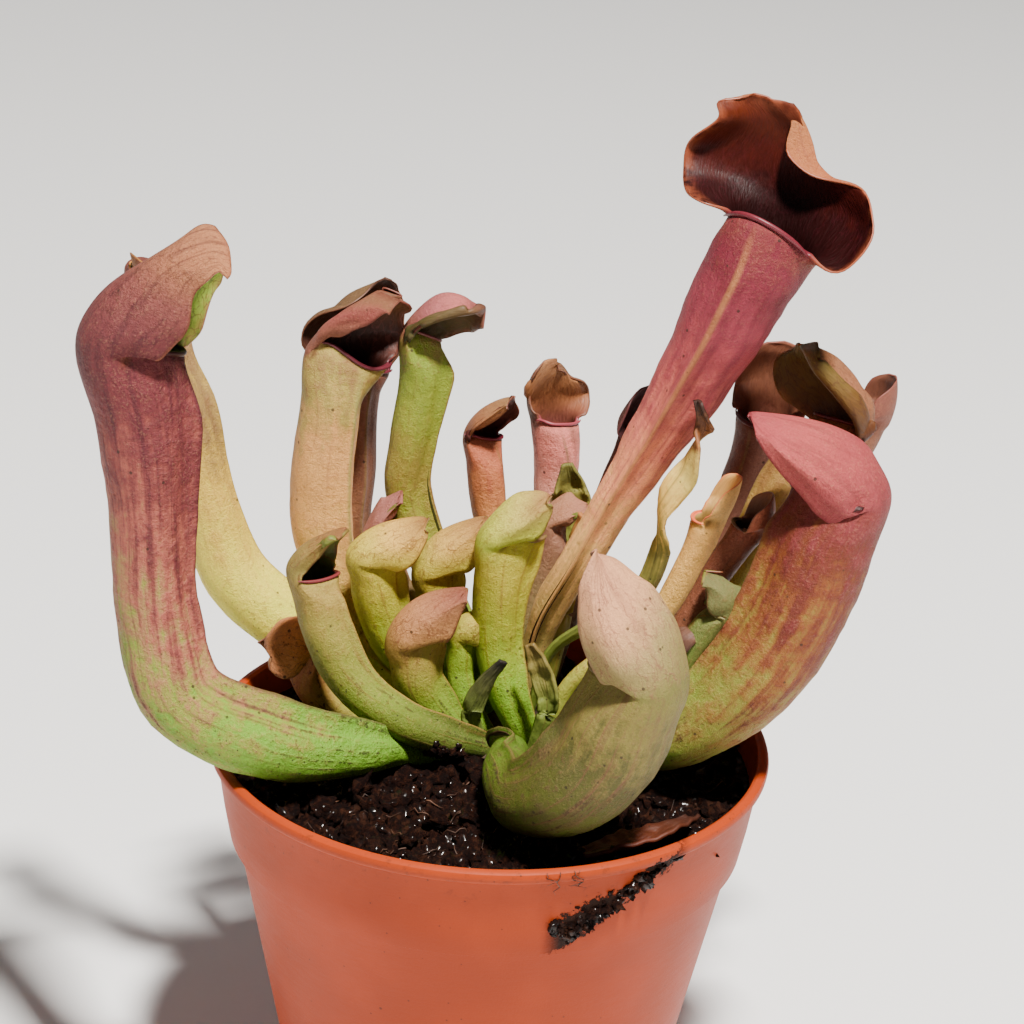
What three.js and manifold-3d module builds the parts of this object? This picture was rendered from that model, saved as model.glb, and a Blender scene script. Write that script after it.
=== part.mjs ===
// Potted pitcher plant: a clump of trumpet pitchers growing from one crown
// in a small round nursery pot filled with peat.
// Millimetres, Z up. The origin is the middle of the pot's underside.
// X runs to the right of the front view and Y runs away from the viewer.
import * as THREE from "three";
import { mergeVertices } from "three/addons/utils/BufferGeometryUtils.js";
import Module from "manifold-3d";

const wasm = await Module();
wasm.setup();

// Pot
const POT_HEIGHT = 70;
const POT_LIP_RADIUS = 45;
const POT_FOOT_RADIUS = 29.3;
const POT_BAND_HEIGHT = 16.5;
const POT_WALL = 1.1;
const POT_SIDES = 40;
const DRAIN_HOLES = 6;
const DRAIN_HOLE_RADIUS = 2.6;
const DRAIN_HOLE_CIRCLE = 20;

// Peat and crown
const PEAT_EDGE = 64.6;
const PEAT_CROWN = 67;
const CONTACT_GAP = 0.3;

// Pitchers
const PITCHER_WALL = 0.9;
const MOUTH_FLARE = 0.1;
const LEAF_THICKNESS = 0.8;

// The columns of points round a pitcher: angles from its back, in degrees.
// The hood grows from the columns within 120 degrees of the back.
const COLUMNS = {
  large: { hood: 4, front: [146, 167, 180, 193, 214], tube: 11, rows: 7 },
  medium: { hood: 3, front: [152, 180, 208], tube: 8, rows: 5 },
  small: { hood: 3, front: [160, 200], tube: 6, rows: 4 },
};

// Each pitcher: the way its mouth faces (degrees from X towards Y), the height
// of the wing along its front, how far the mouth's front lip sits below the
// back, the spine as x, y, z, radius from the crown up, and the hood's shape.
// A hood has a length, a half width along its arc, a cup angle across, the bend
// where it starts, the arch over its length, a curl near the tip, a sideways
// lean or roll, where it is widest, how far its side lobes sweep back, the share
// of its width on each side, a notch in its right edge, and the waves of its edge.
const PITCHERS = {
  pitcher_left_arching: {
    size: "large", face: 0, wing: 1.5, drop: 1, colour: 0x7d3a34,
    spine: [
      [-7, 0, 66, 2.2], [-14, -5, 69, 2.6], [-22, -12, 72, 4], [-34, -18, 76, 5.8], [-48, -17, 82, 6],
      [-52.5, -14, 95.5, 5.8], [-53.5, -12, 110, 5.9], [-54.5, -11, 122.5, 6.6], [-56.5, -10, 135.5, 7.4],
    ],
    hood: {
      length: 34, width: 19, cup: 112, start: 34, arch: 14, curl: 72, peak: 0.3,
      round: 3.6, point: 0.5, end: 0.88, lobe: 3, flip: 1.5, wave: 0.6,
    },
  },
  pitcher_left_pale: {
    size: "medium", face: 15, wing: 1, drop: 4, colour: 0xb9b86c,
    spine: [
      [-6, 9, 65, 2], [-13, 11, 68.5, 2.4], [-22, 14, 71.5, 3.4], [-34.5, 16, 80, 4.7], [-43.5, 17, 88.5, 5],
      [-48, 17, 102, 4], [-51, 17, 115, 3.9], [-54, 17, 126.5, 4.5],
    ],
    hood: { length: 19, width: 12, cup: 100, start: -5, arch: 25, round: 3 },
  },
  pitcher_back_tall: {
    size: "medium", face: -40, wing: 1, drop: 3, colour: 0xb6a878,
    spine: [
      [-4, 12, 66, 2], [-14.5, 16, 71, 2.8], [-24, 19, 81.5, 3.8], [-28.5, 20, 93, 4.8],
      [-29.5, 20, 104.5, 5.1], [-28.5, 20, 115, 4.9], [-28, 20, 124.5, 4.5],
    ],
    hood: { length: 17, width: 13, cup: 95, start: 10, arch: 45, peak: 0.4, lean: 3, round: 3 },
  },
  pitcher_back_brown: {
    size: "medium", face: -65, wing: 0.8, drop: 2, colour: 0x8a6440,
    spine: [
      [-2.5, 18, 66, 1.8], [-13, 26, 74, 2.6], [-24, 31.5, 88, 3.1], [-24.5, 33, 101.5, 3.3],
      [-24.5, 33, 112, 3.3], [-24, 33, 119, 3.5],
    ],
    hood: { length: 17, width: 14, cup: 70, start: -5, arch: 28, round: 1.8, point: 0.7, lobe: 3 },
  },
  pitcher_back_green: {
    size: "medium", face: 0, wing: 1.6, drop: 1, colour: 0x8f9a50,
    spine: [
      [1.5, 20, 66, 1.7], [-8, 24, 80.5, 2.2], [-13.5, 25, 91.5, 2.4], [-16.5, 25, 101.5, 2.7],
      [-15.5, 25, 110.5, 3.2], [-14.5, 25, 119, 3.3], [-14, 25, 127, 3.5],
    ],
    hood: { length: 18, width: 11, cup: 100, start: 15, arch: 92, round: 3 },
  },
  pitcher_back_small: {
    size: "small", face: -15, drop: 2, colour: 0xa8713a,
    spine: [[3.5, 23, 66, 1.6], [1.5, 28, 81, 2.2], [-2, 28, 97.5, 2.9], [-3.5, 28, 109.5, 3.1]],
    hood: { length: 13, width: 9, cup: 90, start: 15, arch: 75, round: 3 },
  },
  pitcher_middle_back: {
    size: "small", face: -60, drop: 2, colour: 0xae7a66,
    spine: [[6, 26, 66, 1.8], [8, 33, 83, 2.8], [9, 35, 97, 3.6], [8.5, 35, 110, 4]],
    hood: {
      length: 11, width: 9.5, cup: 80, start: 5, arch: 25, round: 1.8, point: 0.7, lobe: 3,
      wave: 0.8, waves: 2,
    },
  },
  pitcher_red_tall: {
    size: "large", face: -110, wing: 1.4, drop: 3, colour: 0xb05a4c,
    spine: [
      [4.5, 12, 66, 2.1], [8, 11, 85.5, 2.6], [13.5, 9, 98.5, 3.1], [19, 8, 110.5, 3.6],
      [24.5, 7, 121.5, 4.8], [30, 6, 133.5, 6.2], [34.5, 5, 144.5, 7.2], [38.5, 5, 153.5, 7.4],
    ],
    hood: {
      length: 21.5, width: 21, cup: 62, start: -12, arch: 32, roll: 13, lean: -3.5, peak: 0.38, round: 1.8,
      point: 0.5, lobe: 4, left: 0.86, right: 1.08, notch: 0.72, wave: 2.2, waves: 1.5, twist: 1.8,
    },
  },
  pitcher_red_hidden: {
    size: "small", face: -60, drop: 2, colour: 0x7c3f34,
    spine: [[8, 21, 66, 1.7], [12.5, 24, 84, 2.4], [18, 25, 101, 3], [22, 25, 113, 3.2]],
    hood: { length: 9, width: 9, cup: 80, start: 0, arch: 25, lobe: 2 },
  },
  pitcher_right_large: {
    size: "large", face: 180, wing: 1.4, drop: 2, colour: 0xa0624a,
    spine: [
      [9.5, 4, 66, 2.4], [19.5, -3, 70.5, 3.6], [29, -8, 75.5, 5.2], [37, -9, 83, 7],
      [44, -9, 93.5, 7.8], [49, -8, 106, 7.6], [51.5, -7, 117, 7.2],
    ],
    hood: {
      length: 30, width: 19, cup: 112, start: 50, arch: 50, peak: 0.35, round: 3.2, point: 0.55, lobe: 4,
    },
  },
  pitcher_right_back: {
    size: "medium", face: 176, wing: 0.8, drop: 5, colour: 0xb99463,
    spine: [
      [11.5, 10.5, 66, 2.2], [27, 10, 79.5, 2.6], [38, 10, 94, 3], [45, 10.5, 111.5, 3.6],
      [52, 11, 121.5, 4.6],
    ],
    hood: { length: 22, width: 14, cup: 105, start: 52, arch: 48, round: 3, lobe: 3 },
  },
  pitcher_right_pink: {
    size: "small", face: -120, drop: 2, colour: 0xb27a6a,
    spine: [
      [10, 15, 66, 2], [24, 19, 79, 2.6], [34.5, 22, 93, 3.2], [40, 23.5, 108.5, 3.9],
      [42, 23.5, 119, 4.4],
    ],
    hood: { length: 12, width: 9.5, cup: 80, start: 0, arch: 25, wave: 0.8, lobe: 3 },
  },
  pitcher_far_right: {
    size: "small", face: 180, drop: 2, colour: 0xa5744f,
    spine: [[12, 19, 66, 1.9], [34, 25, 81, 2.6], [49, 27, 97.5, 3], [57, 27, 112, 3.2], [59, 27, 118, 3.4]],
    hood: { length: 8, width: 8, cup: 90, start: 0, arch: 30, lobe: 2 },
  },
  pitcher_orange: {
    size: "small", face: 180, drop: 1.5, colour: 0xdba550,
    spine: [
      [9, 4, 66, 1.4], [12, 3.5, 77, 1.5], [18, 3.5, 83.5, 1.6], [25, 4.5, 89, 1.8], [30.5, 5, 99.5, 2.4],
      [33, 4.5, 108.5, 2.5],
    ],
    hood: { length: 7.5, width: 5.5, cup: 90, start: -10, arch: 20 },
  },
  pitcher_dry: {
    size: "small", face: 180, drop: 1.5, colour: 0x8a6238,
    spine: [
      [12, 1, 66, 1.4], [21, 0, 77, 1.5], [29.5, -1, 91, 2], [34.5, -1.5, 101.5, 2.3],
      [39, -1.5, 109.5, 2.6],
    ],
    hood: { length: 7, width: 6.5, cup: 100, start: 0, arch: 50 },
  },
  pitcher_green_bud: {
    size: "small", face: 190, drop: 0.5, colour: 0x86974a,
    spine: [
      [11, -2, 66, 1.4], [20.5, -5, 76, 1.5], [27.5, -7.5, 84, 1.8], [31, -8, 91.5, 2.2],
      [34.5, -8, 97.5, 2.4],
    ],
    hood: { length: 8, width: 7, cup: 100, start: 10, arch: 60, round: 3 },
  },
  pitcher_front: {
    size: "large", face: 160, wing: 1.4, drop: 1, colour: 0x93984f,
    spine: [
      [3.5, -3, 66, 2.2], [3.5, -8, 71, 2.9], [3, -15, 71.5, 3.8], [6, -26, 72.5, 5.4], [13, -32, 78, 7],
      [18.5, -33, 86, 7.8], [20.5, -33, 96.5, 7.8],
    ],
    hood: {
      length: 25, width: 18, cup: 112, start: 24, arch: 52, peak: 0.35, round: 3, point: 0.55,
      end: 0.92, lobe: 4,
    },
  },
  pitcher_curved: {
    size: "medium", face: -10, wing: 0.8, drop: 1.5, colour: 0x9aa14a,
    spine: [
      [2.5, 2, 66, 1.9], [-6.5, -4, 71, 2.7], [-14.5, -6, 75, 3.2], [-22.5, -4, 80.5, 3.5],
      [-27, -3, 89, 3.6], [-29, -2, 98, 3.8],
    ],
    hood: { length: 12.5, width: 9, cup: 105, start: 25, arch: 75, peak: 0.35, round: 3 },
  },
  pitcher_red_cap: {
    size: "small", face: 200, drop: 0.5, colour: 0x96503c,
    spine: [[-8, 6, 65, 1.7], [-19, 6, 68.5, 2.1], [-27, 6, 71.5, 2.6], [-31.5, 6, 78, 2.9]],
    hood: { length: 10.5, width: 9, cup: 100, start: 12, arch: 70, round: 2.6 },
  },
  pitcher_centre_left: {
    size: "medium", face: 0, wing: 0.8, drop: 0.6, colour: 0xa3a556,
    spine: [[-1, 6, 66, 1.9], [-10, 8, 74, 2.6], [-16, 9, 81, 3.4], [-19, 9, 88.5, 3.9], [-20, 9, 95.5, 4.1]],
    hood: { length: 17, width: 10, cup: 105, start: 33, arch: 75, peak: 0.35, round: 3 },
  },
  pitcher_centre_back: {
    size: "medium", face: 0, wing: 0.8, drop: 0.6, colour: 0xa6a75c,
    spine: [[1, 10, 66, 1.8], [-4, 12, 77.5, 2.4], [-8.5, 13, 84.5, 3.2], [-10, 13, 91, 3.6]],
    hood: { length: 16, width: 9, cup: 105, start: 15, arch: 75, peak: 0.35, round: 3 },
  },
  pitcher_centre_tall: {
    size: "medium", face: -10, wing: 1, drop: 0.6, colour: 0xa2a855,
    spine: [
      [7, 3, 66, 1.9], [2.5, 4, 74.5, 2.6], [0.5, 6, 81.5, 3.3], [0, 7, 90.5, 3.9], [0.5, 7, 99.5, 4.1],
    ],
    hood: { length: 16, width: 10, cup: 105, start: 10, arch: 90, peak: 0.35, round: 3 },
  },
  pitcher_low_left: {
    size: "medium", face: 0, wing: 0.8, drop: 0.6, colour: 0x9ea04c,
    spine: [[-3, 3, 66, 2], [-8, 2, 72, 2.8], [-12, 1, 78, 3.7], [-13, 1, 84, 4]],
    hood: { length: 17, width: 10, cup: 105, start: 12, arch: 80, peak: 0.35, round: 3 },
  },
  pitcher_low_small: {
    size: "small", face: 0, drop: 0.5, colour: 0xa09a4c,
    spine: [[0, 6, 66, 1.6], [-3.5, 6, 72, 2.1], [-5.5, 7, 78, 2.4], [-5, 7, 83.5, 2.6]],
    hood: { length: 8.5, width: 6, cup: 100, start: 15, arch: 60, round: 3 },
  },
  pitcher_pink_young: {
    size: "small", face: 0, drop: 0.5, colour: 0xbf8a70,
    spine: [[6.5, 15, 66, 1.8], [6, 18, 79.5, 2.3], [7.5, 19.5, 89.5, 2.8], [9, 20, 98.5, 3.1]],
    hood: { length: 9, width: 7, cup: 100, start: 20, arch: 80, round: 3 },
  },
  pitcher_pink_back: {
    size: "small", face: 0, drop: 0.5, colour: 0xb57a62,
    spine: [[-2.5, 15, 66, 1.8], [-10, 18, 76.5, 2.4], [-16.5, 19.5, 86, 2.8], [-19.5, 19.5, 94.5, 3]],
    hood: { length: 11, width: 7, cup: 90, start: 20, arch: 60, round: 3 },
  },
};

// Flat leaves: the spine as x, y, z, half width, and the turn of the blade.
const LEAVES = {
  leaf_dead_twisted: {
    turn: [10, 160], colour: 0xc9a262,
    spine: [
      [5.5, 6.5, 68, 1.2], [8.5, 6.5, 81.5, 1.4], [15, 5.5, 88, 1.5], [22.5, 3.5, 94.5, 1.5],
      [25.5, 2, 103.5, 1.6], [26, 0.5, 112, 2.2], [29, -1, 118.5, 2.4], [30.5, -2.5, 124.5, 2],
      [29, -3, 130, 1],
    ],
  },
  leaf_dead_curled: {
    turn: [60, 200], colour: 0x4a2f22,
    spine: [[20, -8, 75, 1.2], [25, -9, 86, 1.6], [29.5, -9, 93, 1.8], [32, -6.5, 92.5, 1.2]],
  },
  leaf_blade_back: {
    turn: [80, 100], colour: 0x98a052,
    spine: [[9.5, 27, 66, 1.2], [11, 29.5, 87.5, 2.2], [11.5, 29, 98.5, 3.3], [10.5, 28.5, 106, 0.8]],
  },
  leaf_yellow_tip: {
    turn: [70, 90], colour: 0xd2b466,
    spine: [[8.5, 14.2, 68, 1], [11, 15.3, 84, 1.4], [12.4, 15.6, 96, 1.6], [13.2, 14.8, 103, 0.8]],
  },
  leaf_black_tip: {
    turn: [80, 60], colour: 0x7d7a3c,
    spine: [[-1, -1.5, 68, 1.2], [-3, -2, 74, 1.6], [-1.5, -2.5, 80, 1.5], [1.5, -2.5, 84.5, 0.8]],
  },
  leaf_young_centre: {
    turn: [75, 95], colour: 0x8f8a45,
    spine: [[7, -2, 68, 1], [9, -2.5, 76.5, 1.6], [7.5, -2, 82.5, 1.8], [5.5, -1.5, 87, 0.8]],
  },
  leaf_on_peat: {
    turn: [5, 25], colour: 0x6b3a26,
    spine: [[15, -31, 66.6, 1.5], [21, -29, 68, 3], [27, -25.5, 68.4, 3.2], [32, -20, 68, 1.5]],
  },
};

// Crown: the lumps of the rhizome as x, y, z, radius.
const CROWN_LUMPS = [
  [-7, 5, 62.5, 7],
  [2.5, 0, 63.5, 6.5],
  [3, 12, 63.5, 8.5],
  [12, 12, 63, 7.5],
  [12, 2, 63.5, 6],
  [5, 22, 63, 7],
];

const radians = THREE.MathUtils.degToRad;
const clamp = THREE.MathUtils.clamp;

function smooth(value) {
  const x = clamp(value, 0, 1);
  return x * x * (3 - 2 * x);
}

function surface(colour, roughness) {
  return new THREE.MeshStandardMaterial({ color: colour, roughness, metalness: 0 });
}

// A closed body from its points and triangles, with every face turned outwards.
function makeGeometry(points, faces) {
  const [a, b, c] = [0, 1, 2].map(() => new THREE.Vector3());
  let volume = 0;
  for (const face of faces) {
    a.set(...points[face[0]]);
    b.set(...points[face[1]]);
    c.set(...points[face[2]]);
    volume += a.dot(b.cross(c));
  }
  const outward = volume > 0 ? faces : faces.map(([p, q, r]) => [p, r, q]);
  const geometry = new THREE.BufferGeometry();
  geometry.setAttribute("position", new THREE.Float32BufferAttribute(points.flat(), 3));
  geometry.setIndex(outward.flat());
  return geometry;
}

function toSolid(geometry) {
  const bare = geometry.clone();
  bare.deleteAttribute("normal");
  bare.deleteAttribute("uv");
  const merged = mergeVertices(bare, 1e-4);
  return new wasm.Manifold(new wasm.Mesh({
    numProp: 3,
    vertProperties: new Float32Array(merged.attributes.position.array),
    triVerts: new Uint32Array(merged.index.array),
  }));
}

function toGeometry(solid) {
  const mesh = solid.getMesh();
  const geometry = new THREE.BufferGeometry();
  geometry.setAttribute("position", new THREE.BufferAttribute(mesh.vertProperties.slice(), 3));
  geometry.setIndex(new THREE.BufferAttribute(mesh.triVerts.slice(), 1));
  return geometry;
}

// The largest body of a cut solid, so that no chip stays beside it.
function largestBody(solid) {
  const bodies = solid.decompose();
  bodies.sort((a, b) => b.volume() - a.volume());
  return bodies[0];
}

// The middle line of a pitcher, its radius and its frame at a fraction of its length.
class Spine {
  constructor(spine, face) {
    this.line = new THREE.CatmullRomCurve3(
      spine.map((p) => new THREE.Vector3(p[0], p[1], p[2])), false, "catmullrom", 0.5);
    this.radii = new THREE.CatmullRomCurve3(
      spine.map((p) => new THREE.Vector3(p[3], 0, 0)), false, "catmullrom", 0.5);
    this.face = radians(face);
    let length = 0;
    for (let k = 1; k < spine.length; k += 1) {
      length += Math.hypot(...[0, 1, 2].map((c) => spine[k][c] - spine[k - 1][c]));
    }
    this.length = length;
  }

  frame(t) {
    const step = 0.001;
    const centre = this.line.getPoint(clamp(t, 0, 1));
    const along = this.line.getPoint(clamp(t + step, 0, 1))
      .sub(this.line.getPoint(clamp(t - step, 0, 1)))
      .normalize();
    const side = new THREE.Vector3(-Math.sin(this.face), Math.cos(this.face), 0);
    side.addScaledVector(along, -side.dot(along)).normalize();
    const front = new THREE.Vector3().crossVectors(side, along);
    const radius = Math.max(this.radii.getPoint(clamp(t, 0, 1)).x, 0.3);
    return { centre, along, side, front, radius };
  }
}

function tubePoint(pitcher, spine, t, angle, inset) {
  const toFront = (1 - Math.cos(angle)) / 2;
  const drop = (pitcher.drop / spine.length) * toFront * t ** 4;
  const frame = spine.frame(t - drop);
  const radius = (frame.radius - inset) * (1 + MOUTH_FLARE * smooth((t - 0.9) / 0.1));
  const wing = inset <= 0 ? (pitcher.wing ?? 0) : 0;
  const ridge = wing * Math.exp(-(((Math.PI - Math.abs(angle)) / radians(11)) ** 2))
    * smooth(t / 0.15) * smooth((1 - t) / 0.1);
  return frame.centre.clone()
    .addScaledVector(frame.front, ridge - radius * Math.cos(angle))
    .addScaledVector(frame.side, radius * Math.sin(angle));
}

// The middle line of a hood: distance along and over the mouth, and its bend.
function hoodLine(hood) {
  const steps = 60;
  const line = [{ x: 0, y: 0, bend: 0 }];
  const bendAt = (a) => radians(
    (hood.start ?? 0) * smooth(a / 0.25) + hood.arch * a + (hood.curl ?? 0) * a ** 3);
  for (let k = 1; k <= steps; k += 1) {
    const middle = bendAt((k - 0.5) / steps);
    const last = line[k - 1];
    line.push({
      x: last.x + (Math.cos(middle) * hood.length) / steps,
      y: last.y + (Math.sin(middle) * hood.length) / steps,
      bend: bendAt(k / steps),
    });
  }
  return (a) => line[Math.round(a * steps)];
}

function hoodPoint(pitcher, spine, lineAt, a, b, inset) {
  const hood = pitcher.hood;
  const end = spine.frame(1);
  const radius = end.radius * (1 + MOUTH_FLARE);
  const spread = (Math.PI * 2) / 3;
  const cup = radians(hood.cup);
  const peak = hood.peak ?? 0.45;
  const open = smooth(a / peak);
  const { x, y, bend } = lineAt(a);
  let width = radius * spread + (hood.width - radius * spread) * open;
  let curve = width / (spread + (cup - spread) * open);
  if (a > peak) {
    const past = Math.min((a - peak) / (1 - peak), hood.end ?? 0.965);
    width = hood.width * (1 - past ** (hood.round ?? 2.2)) ** (hood.point ?? 0.5);
    curve = hood.width / cup;
  }
  const notch = 1 - (hood.notch ?? 0) * smooth((a - 0.35) / 0.35);
  const half = b > 0 ? (hood.right ?? 1) * notch : (hood.left ?? 1);
  const angle = (b * width * (1 + (half - 1) * open)) / curve;
  const roll = radians(hood.roll ?? 0);
  const up = end.along.clone().multiplyScalar(Math.cos(roll)).addScaledVector(end.side, -Math.sin(roll));
  const side = end.side.clone().multiplyScalar(Math.cos(roll)).addScaledVector(end.along, Math.sin(roll));
  const onward = up.clone().multiplyScalar(Math.cos(bend)).addScaledVector(end.front, Math.sin(bend));
  const inward = end.front.clone().multiplyScalar(Math.cos(bend)).addScaledVector(up, -Math.sin(bend));
  const bump = Math.sin(Math.PI * Math.min(a / 0.8, 1)) ** 1.5;
  const phase = 2 * Math.PI * (hood.waves ?? 1.5) * a + (b > 0 ? (hood.twist ?? 0) : 0);
  const wave = (hood.wave ?? 0) * b * b * Math.sin(phase) * smooth(a / 0.15);
  const flip = (hood.flip ?? 0) * Math.abs(b) ** 3 * smooth(a / 0.2);
  const point = end.centre.clone()
    .addScaledVector(end.front, y - radius)
    .addScaledVector(up, x)
    .addScaledVector(side, (hood.lean ?? 0) * a ** 1.5 + (curve - inset) * Math.sin(angle))
    .addScaledVector(inward, curve - (curve - inset) * Math.cos(angle) + wave - flip)
    .addScaledVector(onward, -(hood.lobe ?? 2) * bump * b * b);
  return point;
}

// The points of a pitcher's outer or inner skin, as rows of columns from the base up.
function skin(pitcher, inset) {
  const grid = COLUMNS[pitcher.size];
  const spine = new Spine(pitcher.spine, pitcher.face);
  const lineAt = hoodLine(pitcher.hood);
  const hoodAngles = [];
  for (let k = -grid.hood; k <= grid.hood; k += 1) {
    hoodAngles.push((120 * k) / grid.hood);
  }
  const angles = [...hoodAngles, ...grid.front].map((d) => radians(d > 180 ? d - 360 : d));
  const tube = [];
  for (let i = 0; i <= grid.tube; i += 1) {
    tube.push(angles.map((angle) => tubePoint(pitcher, spine, i / grid.tube, angle, inset)));
  }
  const rim = tube[grid.tube];
  const hood = [];
  for (let i = 1; i <= grid.rows; i += 1) {
    const a = i / grid.rows;
    const join = 1 - smooth(a / 0.4);
    hood.push(hoodAngles.map((degrees, j) => {
      const b = degrees / 120;
      const start = hoodPoint(pitcher, spine, lineAt, 0, b, inset);
      const shift = rim[j].clone().sub(start).multiplyScalar(join);
      return hoodPoint(pitcher, spine, lineAt, a, b, inset).add(shift);
    }));
  }
  return { tube, hood, spine };
}

// A pitcher as one closed body: a hollow tube with an open mouth and a thin hood over it.
function pitcherGeometry(pitcher) {
  const outer = skin(pitcher, 0);
  const inner = skin(pitcher, PITCHER_WALL);
  const columns = outer.tube[0].length;
  const hoodColumns = outer.hood[0].length;
  const top = outer.tube.length - 1;
  const floor = Math.round(top * 0.55);
  const rows = outer.hood.length;
  const points = [];
  const faces = [];
  const add = (point) => {
    points.push([point.x, point.y, point.z]);
    return points.length - 1;
  };
  const quad = (a, b, c, d) => {
    faces.push([a, b, c], [a, c, d]);
  };
  const outTube = outer.tube.map((row) => row.map(add));
  const outHood = [outTube[top].slice(0, hoodColumns), ...outer.hood.map((row) => row.map(add))];
  const inTube = inner.tube.slice(floor).map((row) => row.map(add));
  const inTop = inTube.length - 1;
  const inHood = [inTube[inTop].slice(0, hoodColumns), ...inner.hood.map((row) => row.map(add))];
  const base = add(outer.spine.frame(0).centre);
  const bottom = add(outer.spine.frame(floor / top).centre);
  for (let j = 0; j < columns; j += 1) {
    const n = (j + 1) % columns;
    faces.push([base, outTube[0][n], outTube[0][j]]);
    faces.push([bottom, inTube[0][j], inTube[0][n]]);
    for (let i = 0; i < top; i += 1) {
      quad(outTube[i][j], outTube[i][n], outTube[i + 1][n], outTube[i + 1][j]);
    }
    for (let i = 0; i < inTop; i += 1) {
      quad(inTube[i][j], inTube[i + 1][j], inTube[i + 1][n], inTube[i][n]);
    }
  }
  for (let i = 0; i < rows; i += 1) {
    for (let j = 0; j < hoodColumns - 1; j += 1) {
      quad(outHood[i][j], outHood[i][j + 1], outHood[i + 1][j + 1], outHood[i + 1][j]);
      quad(inHood[i][j], inHood[i + 1][j], inHood[i + 1][j + 1], inHood[i][j + 1]);
    }
  }
  // The edge all round the opening, from the front lip up one side of the hood and down the other.
  const edge = (tube, last, hood) => [
    ...tube[last].slice(hoodColumns - 1),
    ...hood.map((row) => row[0]),
    ...hood[rows].slice(1, -1),
    ...hood.slice(1).map((row) => row[hoodColumns - 1]).reverse(),
  ];
  const outEdge = edge(outTube, top, outHood);
  const inEdge = edge(inTube, inTop, inHood);
  for (let k = 0; k < outEdge.length; k += 1) {
    const n = (k + 1) % outEdge.length;
    quad(outEdge[k], outEdge[n], inEdge[n], inEdge[k]);
  }
  return makeGeometry(points, faces);
}

// The room a pitcher's tube takes up, a little wider than the tube itself.
function clearance(pitcher, gap) {
  const grid = COLUMNS[pitcher.size];
  const { tube, spine } = skin(pitcher, -gap);
  const count = Math.round(grid.tube * 0.85);
  const columns = tube[0].length;
  const points = tube.slice(0, count + 1).flat().map((point) => point.toArray());
  const faces = [];
  const ends = [0, count].map((i) => {
    const frame = spine.frame(i / grid.tube);
    const shift = i === 0 ? -gap : gap;
    const centre = frame.centre.addScaledVector(frame.along, shift);
    points.push([centre.x, centre.y, centre.z]);
    return points.length - 1;
  });
  for (let j = 0; j < columns; j += 1) {
    const n = (j + 1) % columns;
    faces.push([ends[0], n, j]);
    faces.push([ends[1], count * columns + j, count * columns + n]);
    for (let i = 0; i < count; i += 1) {
      const low = i * columns;
      const high = low + columns;
      faces.push([low + j, low + n, high + n], [low + j, high + n, high + j]);
    }
  }
  return toSolid(makeGeometry(points, faces));
}

// A flat leaf: a thin blade that follows its spine and turns as it goes.
function leafGeometry(leaf) {
  const spine = new Spine(leaf.spine, 0);
  const steps = Math.max(7, leaf.spine.length + 2);
  const points = [];
  const faces = [];
  for (let i = 0; i <= steps; i += 1) {
    const t = i / steps;
    const { centre, along, radius } = spine.frame(t);
    const turn = radians(THREE.MathUtils.lerp(leaf.turn[0], leaf.turn[1], t));
    const level = Math.abs(along.z) > 0.99 ? new THREE.Vector3(1, 0, 0) : new THREE.Vector3(0, 0, 1);
    const first = new THREE.Vector3().crossVectors(along, level).normalize();
    const second = new THREE.Vector3().crossVectors(first, along);
    const across = first.clone().multiplyScalar(Math.cos(turn)).addScaledVector(second, Math.sin(turn));
    const normal = new THREE.Vector3().crossVectors(across, along);
    const corners = [[-1, -0.5, 0], [0, -0.5, -0.35], [1, -0.5, 0], [1, 0.5, 0], [0, 0.5, -0.35], [-1, 0.5, 0]];
    for (const [u, v, fold] of corners) {
      const point = centre.clone()
        .addScaledVector(across, u * radius)
        .addScaledVector(normal, v * LEAF_THICKNESS + fold * radius);
      points.push([point.x, point.y, point.z]);
    }
  }
  const n = 6;
  for (let i = 0; i < steps; i += 1) {
    for (let j = 0; j < n; j += 1) {
      const a = i * n + j;
      const b = i * n + ((j + 1) % n);
      faces.push([a, b + n, b], [a, a + n, b + n]);
    }
  }
  const last = steps * n;
  faces.push([0, 1, 5], [1, 4, 5], [1, 2, 4], [2, 3, 4]);
  faces.push([last, last + 5, last + 1], [last + 1, last + 5, last + 4]);
  faces.push([last + 1, last + 4, last + 2], [last + 2, last + 4, last + 3]);
  return makeGeometry(points, faces);
}

function lathe(profile, sides) {
  const geometry = new THREE.LatheGeometry(profile.map(([r, z]) => new THREE.Vector2(r, z)), sides);
  geometry.rotateX(Math.PI / 2);
  return geometry;
}

// The outer radius of the pot's body below its band, at a height.
function bodyRadius(z) {
  const top = POT_HEIGHT - POT_BAND_HEIGHT;
  return POT_FOOT_RADIUS + ((40.3 - POT_FOOT_RADIUS) * z) / top;
}

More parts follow.
